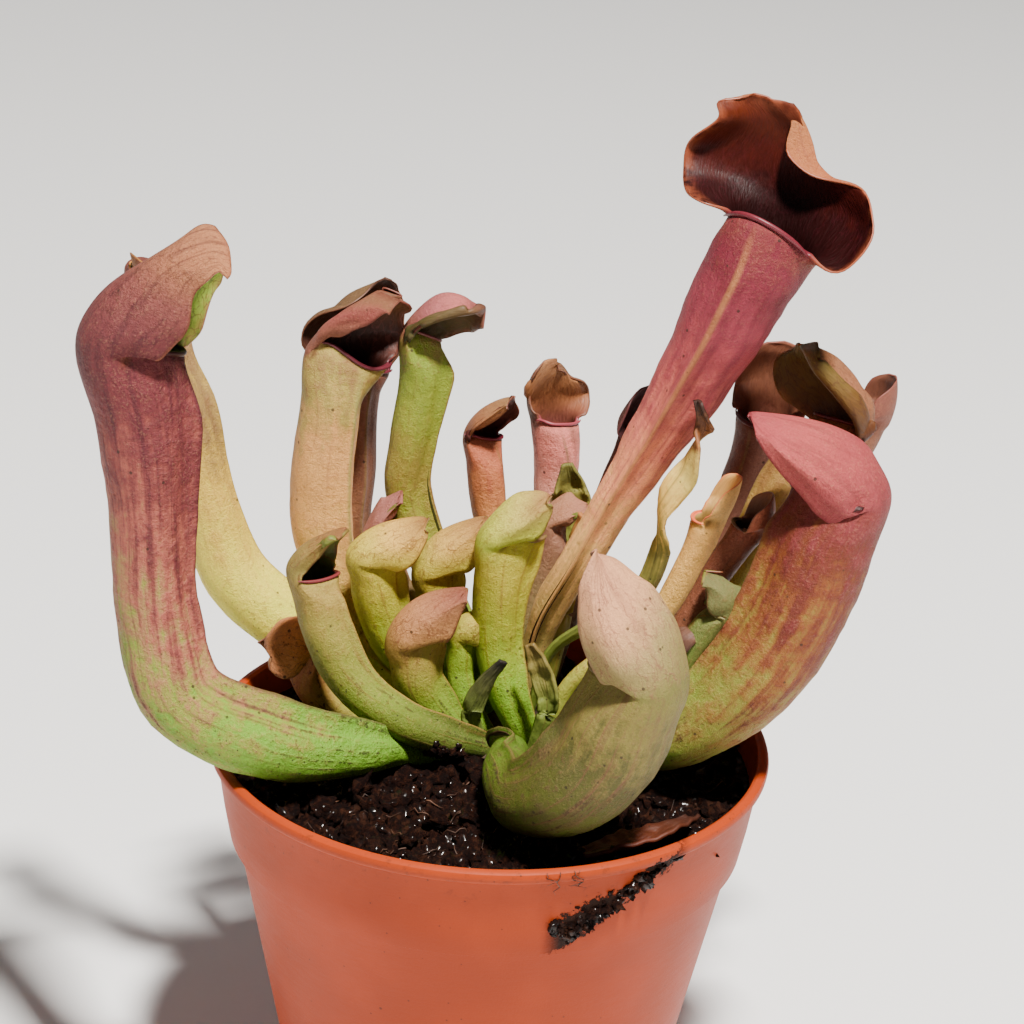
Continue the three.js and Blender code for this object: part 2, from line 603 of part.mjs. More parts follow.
function potSolid() {
  const band = POT_HEIGHT - POT_BAND_HEIGHT;
  const profile = [
    [0, 0], [14, 0], [15, 2.4], [25.2, 2.4], [26.2, 0], [POT_FOOT_RADIUS, 0],
    [bodyRadius(band - 0.4), band - 0.4], [41.8, band + 0.2], [43.8, 67.8], [44.8, 68],
    [POT_LIP_RADIUS, 69], [44.4, 69.9], [43.8, POT_HEIGHT], [43.1, 69.5], [42.9, 67.8],
    [41.8 - POT_WALL, band + 0.3], [bodyRadius(band) - POT_WALL - 0.3, band - 1.2],
    [28.4, 3.6], [14.4, 3.6], [13.4, 1.2], [0, 1.2],
  ];
  let pot = toSolid(lathe(profile, POT_SIDES));
  for (let k = 0; k < DRAIN_HOLES; k += 1) {
    const hole = new THREE.CylinderGeometry(DRAIN_HOLE_RADIUS, DRAIN_HOLE_RADIUS, 10, 10);
    hole.rotateX(Math.PI / 2);
    const angle = (2 * Math.PI * k) / DRAIN_HOLES;
    hole.translate(DRAIN_HOLE_CIRCLE * Math.cos(angle), DRAIN_HOLE_CIRCLE * Math.sin(angle), 3);
    pot = pot.subtract(toSolid(hole));
  }
  return pot;
}

// The uneven top of the peat: a low mound with clods.
function peatHeight(x, y) {
  const r = Math.hypot(x, y) / 42;
  const mound = THREE.MathUtils.lerp(PEAT_CROWN, PEAT_EDGE, smooth(r));
  const clods = Math.sin(x * 0.9 + 1.3) * Math.cos(y * 0.8 - 0.7) + 0.6 * Math.sin(x * 0.37 - y * 0.55 + 2);
  return mound + 0.45 * clods * smooth((1 - r) * 6);
}

function peatGeometry() {
  const band = POT_HEIGHT - POT_BAND_HEIGHT;
  const profile = [
    [0, 1.6], [13, 1.6], [14.1, 4], [28, 4], [bodyRadius(band) - POT_WALL - 0.7, band - 1.2],
    [41.4 - POT_WALL, band + 0.5], [42.2, PEAT_EDGE],
    [36, 66], [29, 66], [22, 66], [14, 66], [0, 66],
  ];
  const geometry = lathe(profile, 25);
  const position = geometry.attributes.position;
  for (let k = 0; k < position.count; k += 1) {
    if (position.getZ(k) > 65) {
      position.setZ(k, peatHeight(position.getX(k), position.getY(k)));
    }
  }
  return geometry;
}

function crownSolid(grow) {
  let crown = null;
  for (const [x, y, z, r] of CROWN_LUMPS) {
    const lump = new THREE.SphereGeometry(r + grow, 9, 7);
    lump.rotateX(Math.PI / 2);
    lump.scale(1, 1, 0.9);
    lump.translate(x, y, z);
    const solid = toSolid(lump);
    crown = crown ? crown.add(solid) : solid;
  }
  return crown;
}

const plant = new THREE.Group();
plant.name = "potted_pitcher_plant";

function place(name, geometry, colour, roughness) {
  const mesh = new THREE.Mesh(geometry, surface(colour, roughness));
  mesh.name = name;
  plant.add(mesh);
}

const crownRoom = crownSolid(CONTACT_GAP);
const peat = largestBody(toSolid(peatGeometry()).subtract(crownRoom));
const peatRoom = toSolid(peatGeometry()).translate([0, 0, CONTACT_GAP]);

place("pot", toGeometry(potSolid()), 0xc4623c, 0.45);
place("peat", toGeometry(peat), 0x2b1d17, 0.95);
place("crown", toGeometry(crownSolid(0)), 0x5a4030, 0.85);

// Each tube is trimmed where it leaves the crown, lies on the peat or touches a tube before it.
const rooms = [];
for (const [name, pitcher] of Object.entries(PITCHERS)) {
  let solid = toSolid(pitcherGeometry(pitcher)).subtract(crownRoom).subtract(peatRoom);
  for (const room of rooms) {
    if (solid.intersect(room).volume() > 0) {
      solid = solid.subtract(room);
    }
  }
  place(name, toGeometry(largestBody(solid)), pitcher.colour, 0.55);
  rooms.push(clearance(pitcher, CONTACT_GAP));
}

for (const [name, leaf] of Object.entries(LEAVES)) {
  let solid = toSolid(leafGeometry(leaf)).subtract(crownRoom).subtract(peatRoom);
  for (const room of rooms) {
    if (solid.intersect(room).volume() > 0) {
      solid = solid.subtract(room);
    }
  }
  place(name, toGeometry(largestBody(solid)), leaf.colour, 0.8);
}

export default plant;
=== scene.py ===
# Potted pitcher plant: hooded trumpet pitchers from one crown, in a small round nursery pot of peat.
# Shapes are worked out in millimetres and written in metres, Z up, round the middle of the pot's foot.
import math
import random

import bmesh
import bpy
import numpy as np
from mathutils import Matrix, Vector, noise


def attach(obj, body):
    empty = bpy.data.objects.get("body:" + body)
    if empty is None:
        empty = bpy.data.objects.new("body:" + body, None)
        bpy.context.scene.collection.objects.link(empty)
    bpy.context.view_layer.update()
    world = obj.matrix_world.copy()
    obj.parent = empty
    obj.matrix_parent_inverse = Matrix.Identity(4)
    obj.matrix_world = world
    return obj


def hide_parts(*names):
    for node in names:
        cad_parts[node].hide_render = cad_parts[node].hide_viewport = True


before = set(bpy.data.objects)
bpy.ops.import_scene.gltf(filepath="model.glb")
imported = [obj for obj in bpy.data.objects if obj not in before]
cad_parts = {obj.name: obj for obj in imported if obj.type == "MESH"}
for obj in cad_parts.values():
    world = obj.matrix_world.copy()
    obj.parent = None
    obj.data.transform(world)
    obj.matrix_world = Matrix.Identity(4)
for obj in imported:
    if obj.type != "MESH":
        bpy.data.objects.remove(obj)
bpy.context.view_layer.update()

MM = 0.001

# Camera
CAMERA_PLACE = (0, -0.4455, 0.297)
CAMERA_TARGET = (0.0017, 0, 0.109)
CAMERA_ROLL = 3.0
CAMERA_LENS = 109

# Lights as place, size, power and colour, all turned to one target
LIGHT_TARGET = (0, 0, 0.1)
LIGHTS = {
    "key": ((0.2, -0.39, 1.18), 0.12, 47, (1, 0.96, 0.9)),
    "fill": ((-0.8, -0.9, 0.6), 0.9, 0.8, (0.95, 0.97, 1)),
    "back": ((-0.3, 0.9, 0.7), 0.6, 1.0, (1, 0.98, 0.95)),
}
SKY_STRENGTH = 0.08

# How much of its colour a surface that faces the key light shows
KEY_SHARE = 1.75

# Pot
POT_HEIGHT = 70
LIP_RADIUS = 45
FOOT_RADIUS = 29.3
BODY_TOP_RADIUS = 40.3
BAND_FOOT = 53.5
BAND = ((53.7, 41.5), (67.6, 43.8))
POT_WALL = 1.1
POT_SIDES = 160
DRAIN_HOLES = 6
DRAIN_HOLE_RADIUS = 2.6
DRAIN_HOLE_CIRCLE = 20

# The smear of peat on the pot's front, from its lower to its upper end, as x and z
SMEAR = ((11.5, 57.5), (29.5, 68.3))

# Peat
PEAT_EDGE = 64.6
PEAT_CROWN = 67
PEAT_RADIUS = 42.2
PEAT_CELLS = 170
CRUMBS = 1100
CRUMB_SPREAD = 41.2
CRUMB_SEED = 5
SMEAR_CRUMBS = 90
CLUMP_CRUMBS = 70
FIBRES = 150
FIBRE_SPREAD = 38
FIBRE_LIMIT = 41
FIBRE_STEPS = 9
FIBRE_STEP = 0.75
FIBRE_SEED = 11

# The rootlets over the pot's lip, as x and length
ROOTLETS = ((9.5, 1.8), (11.2, 4.2), (13.4, 2.6), (14.4, 3.4))
ROOTLET_RADIUS = 0.1

# Pitchers: quads round the hood, quads down each side of the mouth's front, rows up the tube and the hood
GRIDS = {
    "large": {"hood": 44, "front": 12, "tube": 64, "rows": 40},
    "medium": {"hood": 34, "front": 10, "tube": 48, "rows": 30},
    "small": {"hood": 26, "front": 8, "tube": 36, "rows": 22},
}
HOOD_SPREAD = 120
PITCHER_WALL = 0.75
MOUTH_FLARE = 0.1
LIP_BEAD = 0.4
PIT_DEPTH = 1.3
PIT_SIZE = 2.2
PIT_ANGLE = 98
LEAF_WALL = 0.6
LEAF_CELLS = (10, 44)
FOLD_SMOOTHING = 14

# Each pitcher: its grid, the way its mouth faces (degrees from X towards Y), its wing, how far the mouth's
# front lip drops, its middle line as x, y, z, radius from the crown up, and its hood.
PITCHERS = {
    "pitcher_left_arching": dict(
        size="large", face=0, wing=1.5, drop=1,
        spine=[(-7, 0, 66, 2.2), (-14, -5, 69, 2.6), (-22, -12, 72, 4), (-34, -18, 76, 5.8),
               (-48, -17, 82, 6), (-52.5, -14, 95.5, 5.8), (-53.5, -12, 110, 5.9),
               (-54.5, -11, 122.5, 6.6), (-56.5, -10, 135.5, 7.4)],
        hood=dict(length=34, width=19, cup=112, start=34, arch=14, curl=72, peak=0.3,
                  round=3.6, point=0.5, end=0.88, lobe=3, flip=1.5, wave=0.6)),
    "pitcher_left_pale": dict(
        size="medium", face=15, wing=1, drop=4,
        spine=[(-6, 9, 65, 2), (-13, 11, 68.5, 2.4), (-22, 14, 71.5, 3.4), (-34.5, 16, 80, 4.7),
               (-43.5, 17, 88.5, 5), (-48, 17, 102, 4), (-51, 17, 115, 3.9), (-54, 17, 126.5, 4.5)],
        hood=dict(length=19, width=12, cup=100, start=-5, arch=25, round=3)),
    "pitcher_back_tall": dict(
        size="medium", face=-40, wing=1, drop=3,
        spine=[(-4, 12, 66, 2), (-14.5, 16, 71, 2.8), (-24, 19, 81.5, 3.8), (-28.5, 20, 93, 4.8),
               (-29.5, 20, 104.5, 5.1), (-28.5, 20, 115, 4.9), (-28, 20, 124.5, 4.5)],
        hood=dict(length=17, width=13, cup=95, start=10, arch=45, peak=0.4, lean=3, round=3)),
    "pitcher_back_brown": dict(
        size="medium", face=-65, wing=0.8, drop=2,
        spine=[(-2.5, 18, 66, 1.8), (-13, 26, 74, 2.6), (-24, 31.5, 88, 3.1), (-24.5, 33, 101.5, 3.3),
               (-24.5, 33, 112, 3.3), (-24, 33, 119, 3.5)],
        hood=dict(length=17, width=14, cup=70, start=-5, arch=28, round=1.8, point=0.7, lobe=3)),
    "pitcher_back_green": dict(
        size="medium", face=0, wing=1.6, drop=1,
        spine=[(1.5, 20, 66, 1.7), (-8, 24, 80.5, 2.2), (-13.5, 25, 91.5, 2.4), (-16.5, 25, 101.5, 2.7),
               (-15.5, 25, 110.5, 3.2), (-14.5, 25, 119, 3.3), (-14, 25, 127, 3.5)],
        hood=dict(length=18, width=11, cup=100, start=15, arch=92, round=3)),
    "pitcher_back_small": dict(
        size="small", face=-15, drop=2,
        spine=[(3.5, 23, 66, 1.6), (1.5, 28, 81, 2.2), (-2, 28, 97.5, 2.9), (-3.5, 28, 109.5, 3.1)],
        hood=dict(length=13, width=9, cup=90, start=15, arch=75, round=3)),
    "pitcher_middle_back": dict(
        size="small", face=-60, drop=2,
        spine=[(6, 26, 66, 1.8), (8, 33, 83, 2.8), (9, 35, 97, 3.6), (8.5, 35, 110, 4)],
        hood=dict(length=11, width=9.5, cup=80, start=5, arch=25, round=1.8, point=0.7, lobe=3,
                  wave=0.8, waves=2)),
    "pitcher_red_tall": dict(
        size="large", face=-110, wing=1.4, drop=3,
        spine=[(4.5, 12, 66, 2.1), (8, 11, 85.5, 2.6), (13.5, 9, 98.5, 3.1), (19, 8, 110.5, 3.6),
               (24.5, 7, 121.5, 4.8), (30, 6, 133.5, 6.2), (34.5, 5, 144.5, 7.2), (38.5, 5, 153.5, 7.4)],
        hood=dict(length=21.5, width=21, cup=62, start=-12, arch=32, roll=13, lean=-3.5, peak=0.38,
                  round=1.8, point=0.5, lobe=4, wave=2.2, waves=1.5, twist=1.8,
                  left=(0.86, 0.86, 0.9, 0.92, 0.86, 0.8, 0.86), right=(1.1, 1.15, 1.12, 0.8, 0.38, 0.34, 0.5))),
    "pitcher_red_hidden": dict(
        size="small", face=-60, drop=2,
        spine=[(8, 21, 66, 1.7), (12.5, 24, 84, 2.4), (18, 25, 101, 3), (22, 25, 113, 3.2)],
        hood=dict(length=9, width=9, cup=80, start=0, arch=25, lobe=2)),
    "pitcher_right_large": dict(
        size="large", face=180, wing=1.4, drop=2,
        spine=[(9.5, 4, 66, 2.4), (19.5, -3, 70.5, 3.6), (29, -8, 75.5, 5.2), (37, -9, 83, 7),
               (44, -9, 93.5, 7.8), (49, -8, 106, 7.6), (51.5, -7, 117, 7.2)],
        hood=dict(length=30, width=19, cup=112, start=50, arch=50, peak=0.35, round=3.2, point=0.55,
                  lobe=4)),
    "pitcher_right_back": dict(
        size="medium", face=176, wing=0.8, drop=5,
        spine=[(11.5, 10.5, 66, 2.2), (27, 10, 79.5, 2.6), (38, 10, 94, 3), (45, 10.5, 111.5, 3.6),
               (52, 11, 121.5, 4.6)],
        hood=dict(length=22, width=14, cup=105, start=52, arch=48, round=3, lobe=3)),
    "pitcher_right_pink": dict(
        size="small", face=-120, drop=2,
        spine=[(10, 15, 66, 2), (24, 19, 79, 2.6), (34.5, 22, 93, 3.2), (40, 23.5, 108.5, 3.9),
               (42, 23.5, 119, 4.4)],
        hood=dict(length=12, width=9.5, cup=80, start=0, arch=25, wave=0.8, lobe=3)),
    "pitcher_far_right": dict(
        size="small", face=180, drop=2,
        spine=[(12, 19, 66, 1.9), (34, 25, 81, 2.6), (49, 27, 97.5, 3), (57, 27, 112, 3.2),
               (59, 27, 118, 3.4)],
        hood=dict(length=8, width=8, cup=90, start=0, arch=30, lobe=2)),
    "pitcher_orange": dict(
        size="small", face=180, drop=1.5,
        spine=[(9, 4, 66, 1.4), (12, 3.5, 77, 1.5), (18, 3.5, 83.5, 1.6), (25, 4.5, 89, 1.8),
               (30.5, 5, 99.5, 2.4), (33, 4.5, 108.5, 2.5)],
        hood=dict(length=7.5, width=5.5, cup=90, start=-10, arch=20)),
    "pitcher_dry": dict(
        size="small", face=180, drop=1.5,
        spine=[(12, 1, 66, 1.4), (21, 0, 77, 1.5), (29.5, -1, 91, 2), (34.5, -1.5, 101.5, 2.3),
               (39, -1.5, 109.5, 2.6)],
        hood=dict(length=7, width=6.5, cup=100, start=0, arch=50)),
    "pitcher_green_bud": dict(
        size="small", face=190, drop=0.5,
        spine=[(11, -2, 66, 1.4), (20.5, -5, 76, 1.5), (27.5, -7.5, 84, 1.8), (31, -8, 91.5, 2.2),
               (34.5, -8, 97.5, 2.4)],
        hood=dict(length=8, width=7, cup=100, start=10, arch=60, round=3)),
    "pitcher_front": dict(
        size="large", face=160, wing=1.4, drop=1,
        spine=[(3.5, -3, 66, 2.2), (3.5, -8, 71, 2.9), (3, -15, 71.5, 3.8), (6, -26, 72.5, 5.4),
               (13, -32, 78, 7), (18.5, -33, 86, 7.8), (20.5, -33, 96.5, 7.8)],
        hood=dict(length=25, width=18, cup=112, start=24, arch=52, peak=0.35, round=3, point=0.55,
                  end=0.92, lobe=4)),
    "pitcher_curved": dict(
        size="medium", face=-10, wing=0.8, drop=1.5,
        spine=[(2.5, 2, 66, 1.9), (-6.5, -4, 71, 2.7), (-14.5, -6, 75, 3.2), (-22.5, -4, 80.5, 3.5),
               (-27, -3, 89, 3.6), (-29, -2, 98, 3.8)],
        hood=dict(length=12.5, width=9, cup=105, start=25, arch=75, peak=0.35, round=3)),
    "pitcher_red_cap": dict(
        size="small", face=200, drop=0.5,
        spine=[(-8, 6, 65, 1.7), (-19, 6, 68.5, 2.1), (-27, 6, 71.5, 2.6), (-31.5, 6, 78, 2.9)],
        hood=dict(length=10.5, width=9, cup=100, start=12, arch=70, round=2.6)),
    "pitcher_centre_left": dict(
        size="medium", face=0, wing=0.8, drop=0.6,
        spine=[(-1, 6, 66, 1.9), (-10, 8, 74, 2.6), (-16, 9, 81, 3.4), (-19, 9, 88.5, 3.9),
               (-20, 9, 95.5, 4.1)],
        hood=dict(length=17, width=10, cup=105, start=33, arch=75, peak=0.35, round=3)),
    "pitcher_centre_back": dict(
        size="medium", face=0, wing=0.8, drop=0.6,
        spine=[(1, 10, 66, 1.8), (-4, 12, 77.5, 2.4), (-8.5, 13, 84.5, 3.2), (-10, 13, 91, 3.6)],
        hood=dict(length=16, width=9, cup=105, start=15, arch=75, peak=0.35, round=3)),
    "pitcher_centre_tall": dict(
        size="medium", face=-10, wing=1, drop=0.6,
        spine=[(7, 3, 66, 1.9), (2.5, 4, 74.5, 2.6), (0.5, 6, 81.5, 3.3), (0, 7, 90.5, 3.9),
               (0.5, 7, 99.5, 4.1)],
        hood=dict(length=16, width=10, cup=105, start=10, arch=90, peak=0.35, round=3)),
    "pitcher_low_left": dict(
        size="medium", face=0, wing=0.8, drop=0.6,
        spine=[(-3, 3, 66, 2), (-8, 2, 72, 2.8), (-12, 1, 78, 3.7), (-13, 1, 84, 4)],
        hood=dict(length=17, width=10, cup=105, start=12, arch=80, peak=0.35, round=3)),
    "pitcher_low_small": dict(
        size="small", face=0, drop=0.5,
        spine=[(0, 6, 66, 1.6), (-3.5, 6, 72, 2.1), (-5.5, 7, 78, 2.4), (-5, 7, 83.5, 2.6)],
        hood=dict(length=8.5, width=6, cup=100, start=15, arch=60, round=3)),
    "pitcher_pink_young": dict(
        size="small", face=0, drop=0.5,
        spine=[(6.5, 15, 66, 1.8), (6, 18, 79.5, 2.3), (7.5, 19.5, 89.5, 2.8), (9, 20, 98.5, 3.1)],
        hood=dict(length=9, width=7, cup=100, start=20, arch=80, round=3)),
    "pitcher_pink_back": dict(
        size="small", face=0, drop=0.5,
        spine=[(-2.5, 15, 66, 1.8), (-10, 18, 76.5, 2.4), (-16.5, 19.5, 86, 2.8), (-19.5, 19.5, 94.5, 3)],
        hood=dict(length=11, width=7, cup=90, start=20, arch=60, round=3)),
}

# How the hoods and mouths are drawn out of their plain form: how far a move carries along and round the pitcher, in
# millimetres and degrees, and by the angle from the pitcher's back the moves as distance over the rim, x, y, z.
PULLS = {
    "pitcher_left_arching": ((4.5, 44), {
        -120: [(0, -1.8, 1, 2.3), (4.2, 0.3, -0.1, -0.3), (8.5, 2.4, 1.5, 3.5), (12.8, 2.6, 0.6, 1.4),
        (17, 3, 0.6, 1.5), (21.2, 1.4, 0.5, 1.3), (25.5, 0.5, 0.9, 2.1), (29.8, 1.6, 0.4, 1.1),
        (34, 2.2, -0.2, -0.4)], 120: [(0, -0.8, 0.2, 0.5), (4.2, 1.2, -0.3, -0.6), (8.5, 3.2, 0.6, 1.5),
        (12.8, 3.3, -0.1, -0.2), (17, 2.9, 0, -0.1), (21.2, 2, -0.2, -0.5), (25.5, 1.1, 0, 0),
        (29.8, 2.3, -0.6, -1.4), (34, 0.5, -0.2, -0.5)], -90: [(34, 1, -0.3, -0.8)], -60: [(34, 0.8, 0.1, 0.3)],
        -30: [(34, 1.5, -0.2, -0.5)], 0: [(34, -1.9, 0.4, 1)], 60: [(34, -0.3, 0.1, 0.2)],
        90: [(34, 0.6, -0.4, -0.9)], 10: [(16, 0.4, -0.2, -0.6), (21, 0.8, -0.5, -1.2), (26, 0.9, -0.4, -1)]}),
    "pitcher_red_tall": ((3.2, 36), {
        -120: [(0, 0.8, 0.3, 0.6), (2.7, -0.1, 0.2, 0.6), (5.4, 0.8, -0.3, -0.8), (8.1, 0.7, 0.3, 0.7),
        (10.8, 0.3, 0.3, 0.8), (13.4, -0.6, 0.1, 0.2), (16.1, -0.5, -0.4, -0.9), (18.8, 2.2, 0, 0.1),
        (21.5, -7.4, -0.3, -0.8)], 120: [(0, -0.2, 1.4, 3.4), (2.7, 2.8, -1.5, -3.5), (5.4, 0.2, 0.3, 0.6),
        (8.1, -1.3, 0.8, 1.9), (10.8, 0.5, 1.5, 3.6), (13.4, 0.5, 0, -0.1), (16.1, -0.7, -0.8, -1.8),
        (18.8, -5.8, -0.5, -1.2), (21.5, -0.3, -0.7, -1.6)], -60: [(21.5, -4.8, 0.1, 0.2)],
        0: [(21.5, -3.3, -0.1, -0.3)], 60: [(21.5, -1.4, -0.3, -0.6)], 180: [(0, 0.6, 1.2, 2.9)],
        150: [(0, 0.5, 1.2, 2.9)], -150: [(0, 0.9, 1, 2.3)], 85: [(18.8, 0.8, -0.2, -0.4), (16.1, 0.7, -0.9, -2.1)]}),
    "pitcher_right_large": ((4, 40), {
        120: [(0, 3.5, 0.8, 1.9), (3.8, 2.9, 0.3, 0.8), (7.5, -2.5, 1.6, 3.7), (11.2, -1.8, 1.4, 3.3),
        (15, -2.3, 1.7, 4), (18.8, -1.9, 1.7, 3.9), (22.5, -0.6, 1.5, 3.5), (26.2, -1.7, 2, 4.7),
        (30, 0.9, -0.7, -1.5)], -120: [(0, -0.7, -0.2, -0.6), (3.8, 1.5, 0.3, 0.6), (7.5, -3.9, 1.9, 4.6),
        (11.2, -2.5, 1.3, 3), (15, -2.9, 1.4, 3.4), (18.8, -1.8, 1.2, 2.9), (22.5, -0.3, 1, 2.4),
        (26.2, -0.3, 0.7, 1.7), (30, 0.8, -0.5, -1.3)], 0: [(30, 0.3, 0, 0)], -60: [(30, 0.3, -0.1, -0.2)],
        180: [(0, 1, 0.6, 1.4)], -20: [(11, 1.1, 0.5, 1.1), (16, 0.3, 0.4, 1), (21, 0, 0.2, 0.5)]}),
    "pitcher_front": ((3.6, 38), {
        120: [(0, 4.3, 1.2, 2.9), (3.1, 1.3, 0, 0.1), (6.2, -0.7, 1.9, 4.6), (9.4, -1.1, 1.7, 4),
        (12.5, -1.4, 2, 4.8), (15.6, -0.9, 2, 4.6), (18.8, 0.7, 1.9, 4.6), (21.9, -0.3, 1.5, 3.5),
        (25, 1.4, 1.6, 3.9)], 60: [(25, -0.3, 1.3, 3)], 0: [(25, -1, 0.5, 1.1), (20, -2, 1.3, 3.1),
        (14, -1, 1.6, 3.7), (8, -0.9, 1.7, 4)], 180: [(0, 1, 0.6, 1.4)], 150: [(0, 1.1, -0.5, -1.1)],
        -120: [(25, -2.3, 0.6, 1.4), (18, -1.6, 2.3, 5.4), (10, -2.8, 2.9, 6.9)], -60: [(25, -2, 0.5, 1.2)]}),
    "pitcher_centre_left": ((3.2, 34), {
        -120: [(0, -0.9, 0.5, 1.1), (2.8, 0.9, 0.5, 1.1), (5.7, 3, 0.6, 1.5), (8.5, 3, 0.7, 1.8),
        (11.3, 2, 0.7, 1.7), (14.2, 2.1, 1.4, 3.3), (17, -0.9, 0, -0.1)], 0: [(17, -0.1, 0.3, 0.6)],
        120: [(12, 3.2, 0.6, 1.4), (6, 4.5, 0.7, 1.7)], 60: [(17, -0.2, 0.2, 0.4)], -60: [(17, -0.1, 0.4, 0.9)]}),
    "pitcher_centre_back": ((3.1, 34), {
        -120: [(0, 0.1, 1.4, 3.3), (2.7, 0.9, 0.3, 0.6), (5.3, 2.5, 0.9, 2.2), (8, 2.8, 0.9, 2.2),
        (10.7, 2.1, 0.8, 1.8), (13.3, 1.4, 1.4, 3.3), (16, 1.8, -0.1, -0.3)], 0: [(16, 2.4, 0.3, 0.8)],
        120: [(16, 2.4, 0, -0.1), (11, 3.3, 0.8, 1.9), (5.5, 3.4, 1.1, 2.6)], 180: [(0, 0.3, 0.7, 1.7)],
        60: [(16, 2.4, 0.2, 0.6)], -60: [(16, 2.4, 0.4, 1)]}),
    "pitcher_centre_tall": ((3.1, 34), {
        -120: [(0, 0.1, 1.3, 3), (2.7, 1.4, 0.5, 1.3), (5.3, 3, 1.1, 2.7), (8, 3.2, 1.1, 2.6), (10.7, 2.1, 1, 2.5),
        (13.3, 2.7, 1.6, 3.9), (16, -1.1, 0.3, 0.7)], 0: [(16, -0.2, 0.7, 1.6), (9, 0.6, 0.7, 1.6),
        (12.5, -0.1, 0.5, 1.1)], 120: [(16, -0.3, 0.4, 1), (10, 2.7, 1.3, 3.1), (5, 3.3, 1.4, 3.3)],
        180: [(0, 2.3, 1.3, 3.1)], 60: [(16, -0.3, 0.7, 1.7)], -60: [(16, -0.1, 0.9, 2.2)]}),
    "pitcher_low_left": ((3.2, 34), {
        -120: [(0, 0.5, 1.4, 3.2), (2.8, 1.2, 0.3, 0.8), (5.7, 2.7, 1.1, 2.6), (8.5, 2.5, 1.1, 2.6),
        (11.3, 2, 0.9, 2.1), (14.2, 1.9, 1.5, 3.5), (17, 1.6, -0.4, -0.9)], 0: [(17, 2.3, 0.1, 0.3)],
        120: [(17, 2.4, -0.3, -0.7), (11, 3.8, 1, 2.3), (5, 3.9, 1.1, 2.6)], 180: [(0, 0.4, 0.9, 2.2)],
        60: [(17, 2.3, 0, 0.1)], -60: [(17, 2.3, 0.2, 0.6)]}),
    "pitcher_low_small": ((2, 34), {
        -120: [(0, -0.9, 0.3, 0.7), (1.7, 0.9, 0.1, 0.2), (3.4, 1.8, 0.4, 1.1), (5.1, 1.1, 0.2, 0.6),
        (6.8, 0, 0.9, 2), (8.5, 0.2, -0.6, -1.4)], 0: [(8.5, 0.1, -0.3, -0.8)], 120: [(8.5, 0.3, -0.6, -1.4),
        (4, 2.4, 0.4, 0.9)], 180: [(0, -0.4, 0.2, 0.5)], 60: [(8.5, 0.1, -0.4, -0.9)], -60: [(8.5, 0.1, -0.2, -0.6)]}),
    "pitcher_curved": ((2.5, 48), {
        -120: [(0, -2, -0.3, -0.6), (2.1, -0.7, 1.1, 2.6), (4.2, 0.7, 0.9, 2.1), (6.2, 0.8, 1.1, 2.6),
        (8.3, 0.5, 0.9, 2.2), (10.4, 1, 1.4, 3.4), (12.5, 0.6, -0.3, -0.7)], 120: [(0, 0.3, -0.5, -1.2),
        (2.1, 0.2, 0.8, 1.8), (4.2, 1.2, 0.5, 1.3), (6.2, 0.8, 0.7, 1.6), (8.3, 0.3, 0.5, 1.3),
        (10.4, -0.4, 0.5, 1.3), (12.5, 0.9, -0.3, -0.6)], 0: [(12.5, 0.7, 0.3, 0.7)], -60: [(12.5, 1.1, 0.2, 0.5)],
        180: [(0, -0.1, 0.2, 0.6)], -150: [(0, -1.3, -0.4, -1)], 60: [(12.5, 0.6, 0.3, 0.6)]}),
    "pitcher_red_cap": ((2.4, 50), {
        120: [(0, 3.9, 1.9, 4.6), (2.1, 0.1, 0.5, 1.3), (4.2, -0.1, 0.7, 1.5), (6.3, -0.6, -0.5, -1.2),
        (8.4, -2.1, 0.8, 1.8), (10.5, 1.8, -0.3, -0.8)], 0: [(0, 0.7, 1.6, 3.7), (2.5, 0.8, 0.9, 2.1),
        (5, 0.6, 0.9, 2), (7.5, 0.3, 0.7, 1.8), (10.5, 0.9, 0.2, 0.5)], 60: [(10.5, 0.8, 0.2, 0.4)],
        -60: [(10.5, 1.3, 0.3, 0.8)]}),
    "pitcher_back_tall": ((3.4, 45), {
        -120: [(0, -1.6, 1.6, 3.7), (2.8, 1, 1, 2.5), (5.7, 2.6, 1.6, 3.9), (8.5, 3.1, 1.3, 3.1),
        (11.3, 2.9, 0.9, 2.1), (14.2, 4.1, 1.6, 3.9), (17, 4, -1.5, -3.5)], 120: [(0, 3.2, 0.3, 0.7),
        (2.8, 2.1, 0.5, 1.3), (5.7, 0.9, 0.5, 1.2), (8.5, 1.2, 0.6, 1.3), (11.3, 0.8, 0.3, 0.8),
        (14.2, -2.6, 0.6, 1.4), (17, 4.9, -1.3, -3)], 0: [(17, 4.7, -0.6, -1.3), (12, 3.4, -0.1, -0.3),
        (7, 1.7, 0.1, 0.4)], 180: [(0, 0.9, 0.4, 0.8)], -150: [(0, 0, 0.6, 1.5)], 150: [(0, -0.1, 0.2, 0.5)]}),
    "pitcher_back_green": ((3.4, 45), {
        -120: [(0, -3.9, 0.9, 2.1), (3, -0.8, 1, 2.3), (6, -0.6, 1.5, 3.5), (9, 0.3, 1.4, 3.3), (12, -0.2, 1, 2.4),
        (15, 0.8, 1.7, 4.1), (18, -1.9, -0.6, -1.5)], 120: [(0, -1.8, 0, -0.1), (3, 0.2, 0.2, 0.5),
        (6, 0.6, 0.1, 0.1), (9, 1.2, 0, 0), (12, 0.4, -0.2, -0.4), (15, 1.3, -0.1, -0.2), (18, -1, -1.7, -3.9)],
        0: [(18, -1.1, -0.7, -1.8), (13, 1.2, 0, 0), (9, 0.7, 0.6, 1.4)], 180: [(0, 0, 0.4, 0.9)]}),
    "pitcher_back_small": ((2.8, 45), {
        -120: [(0, -2.9, 0.8, 1.8), (2.6, -0.3, 1, 2.4), (5.2, 0.6, 1.3, 3.1), (7.8, 0.8, 0.9, 2.2),
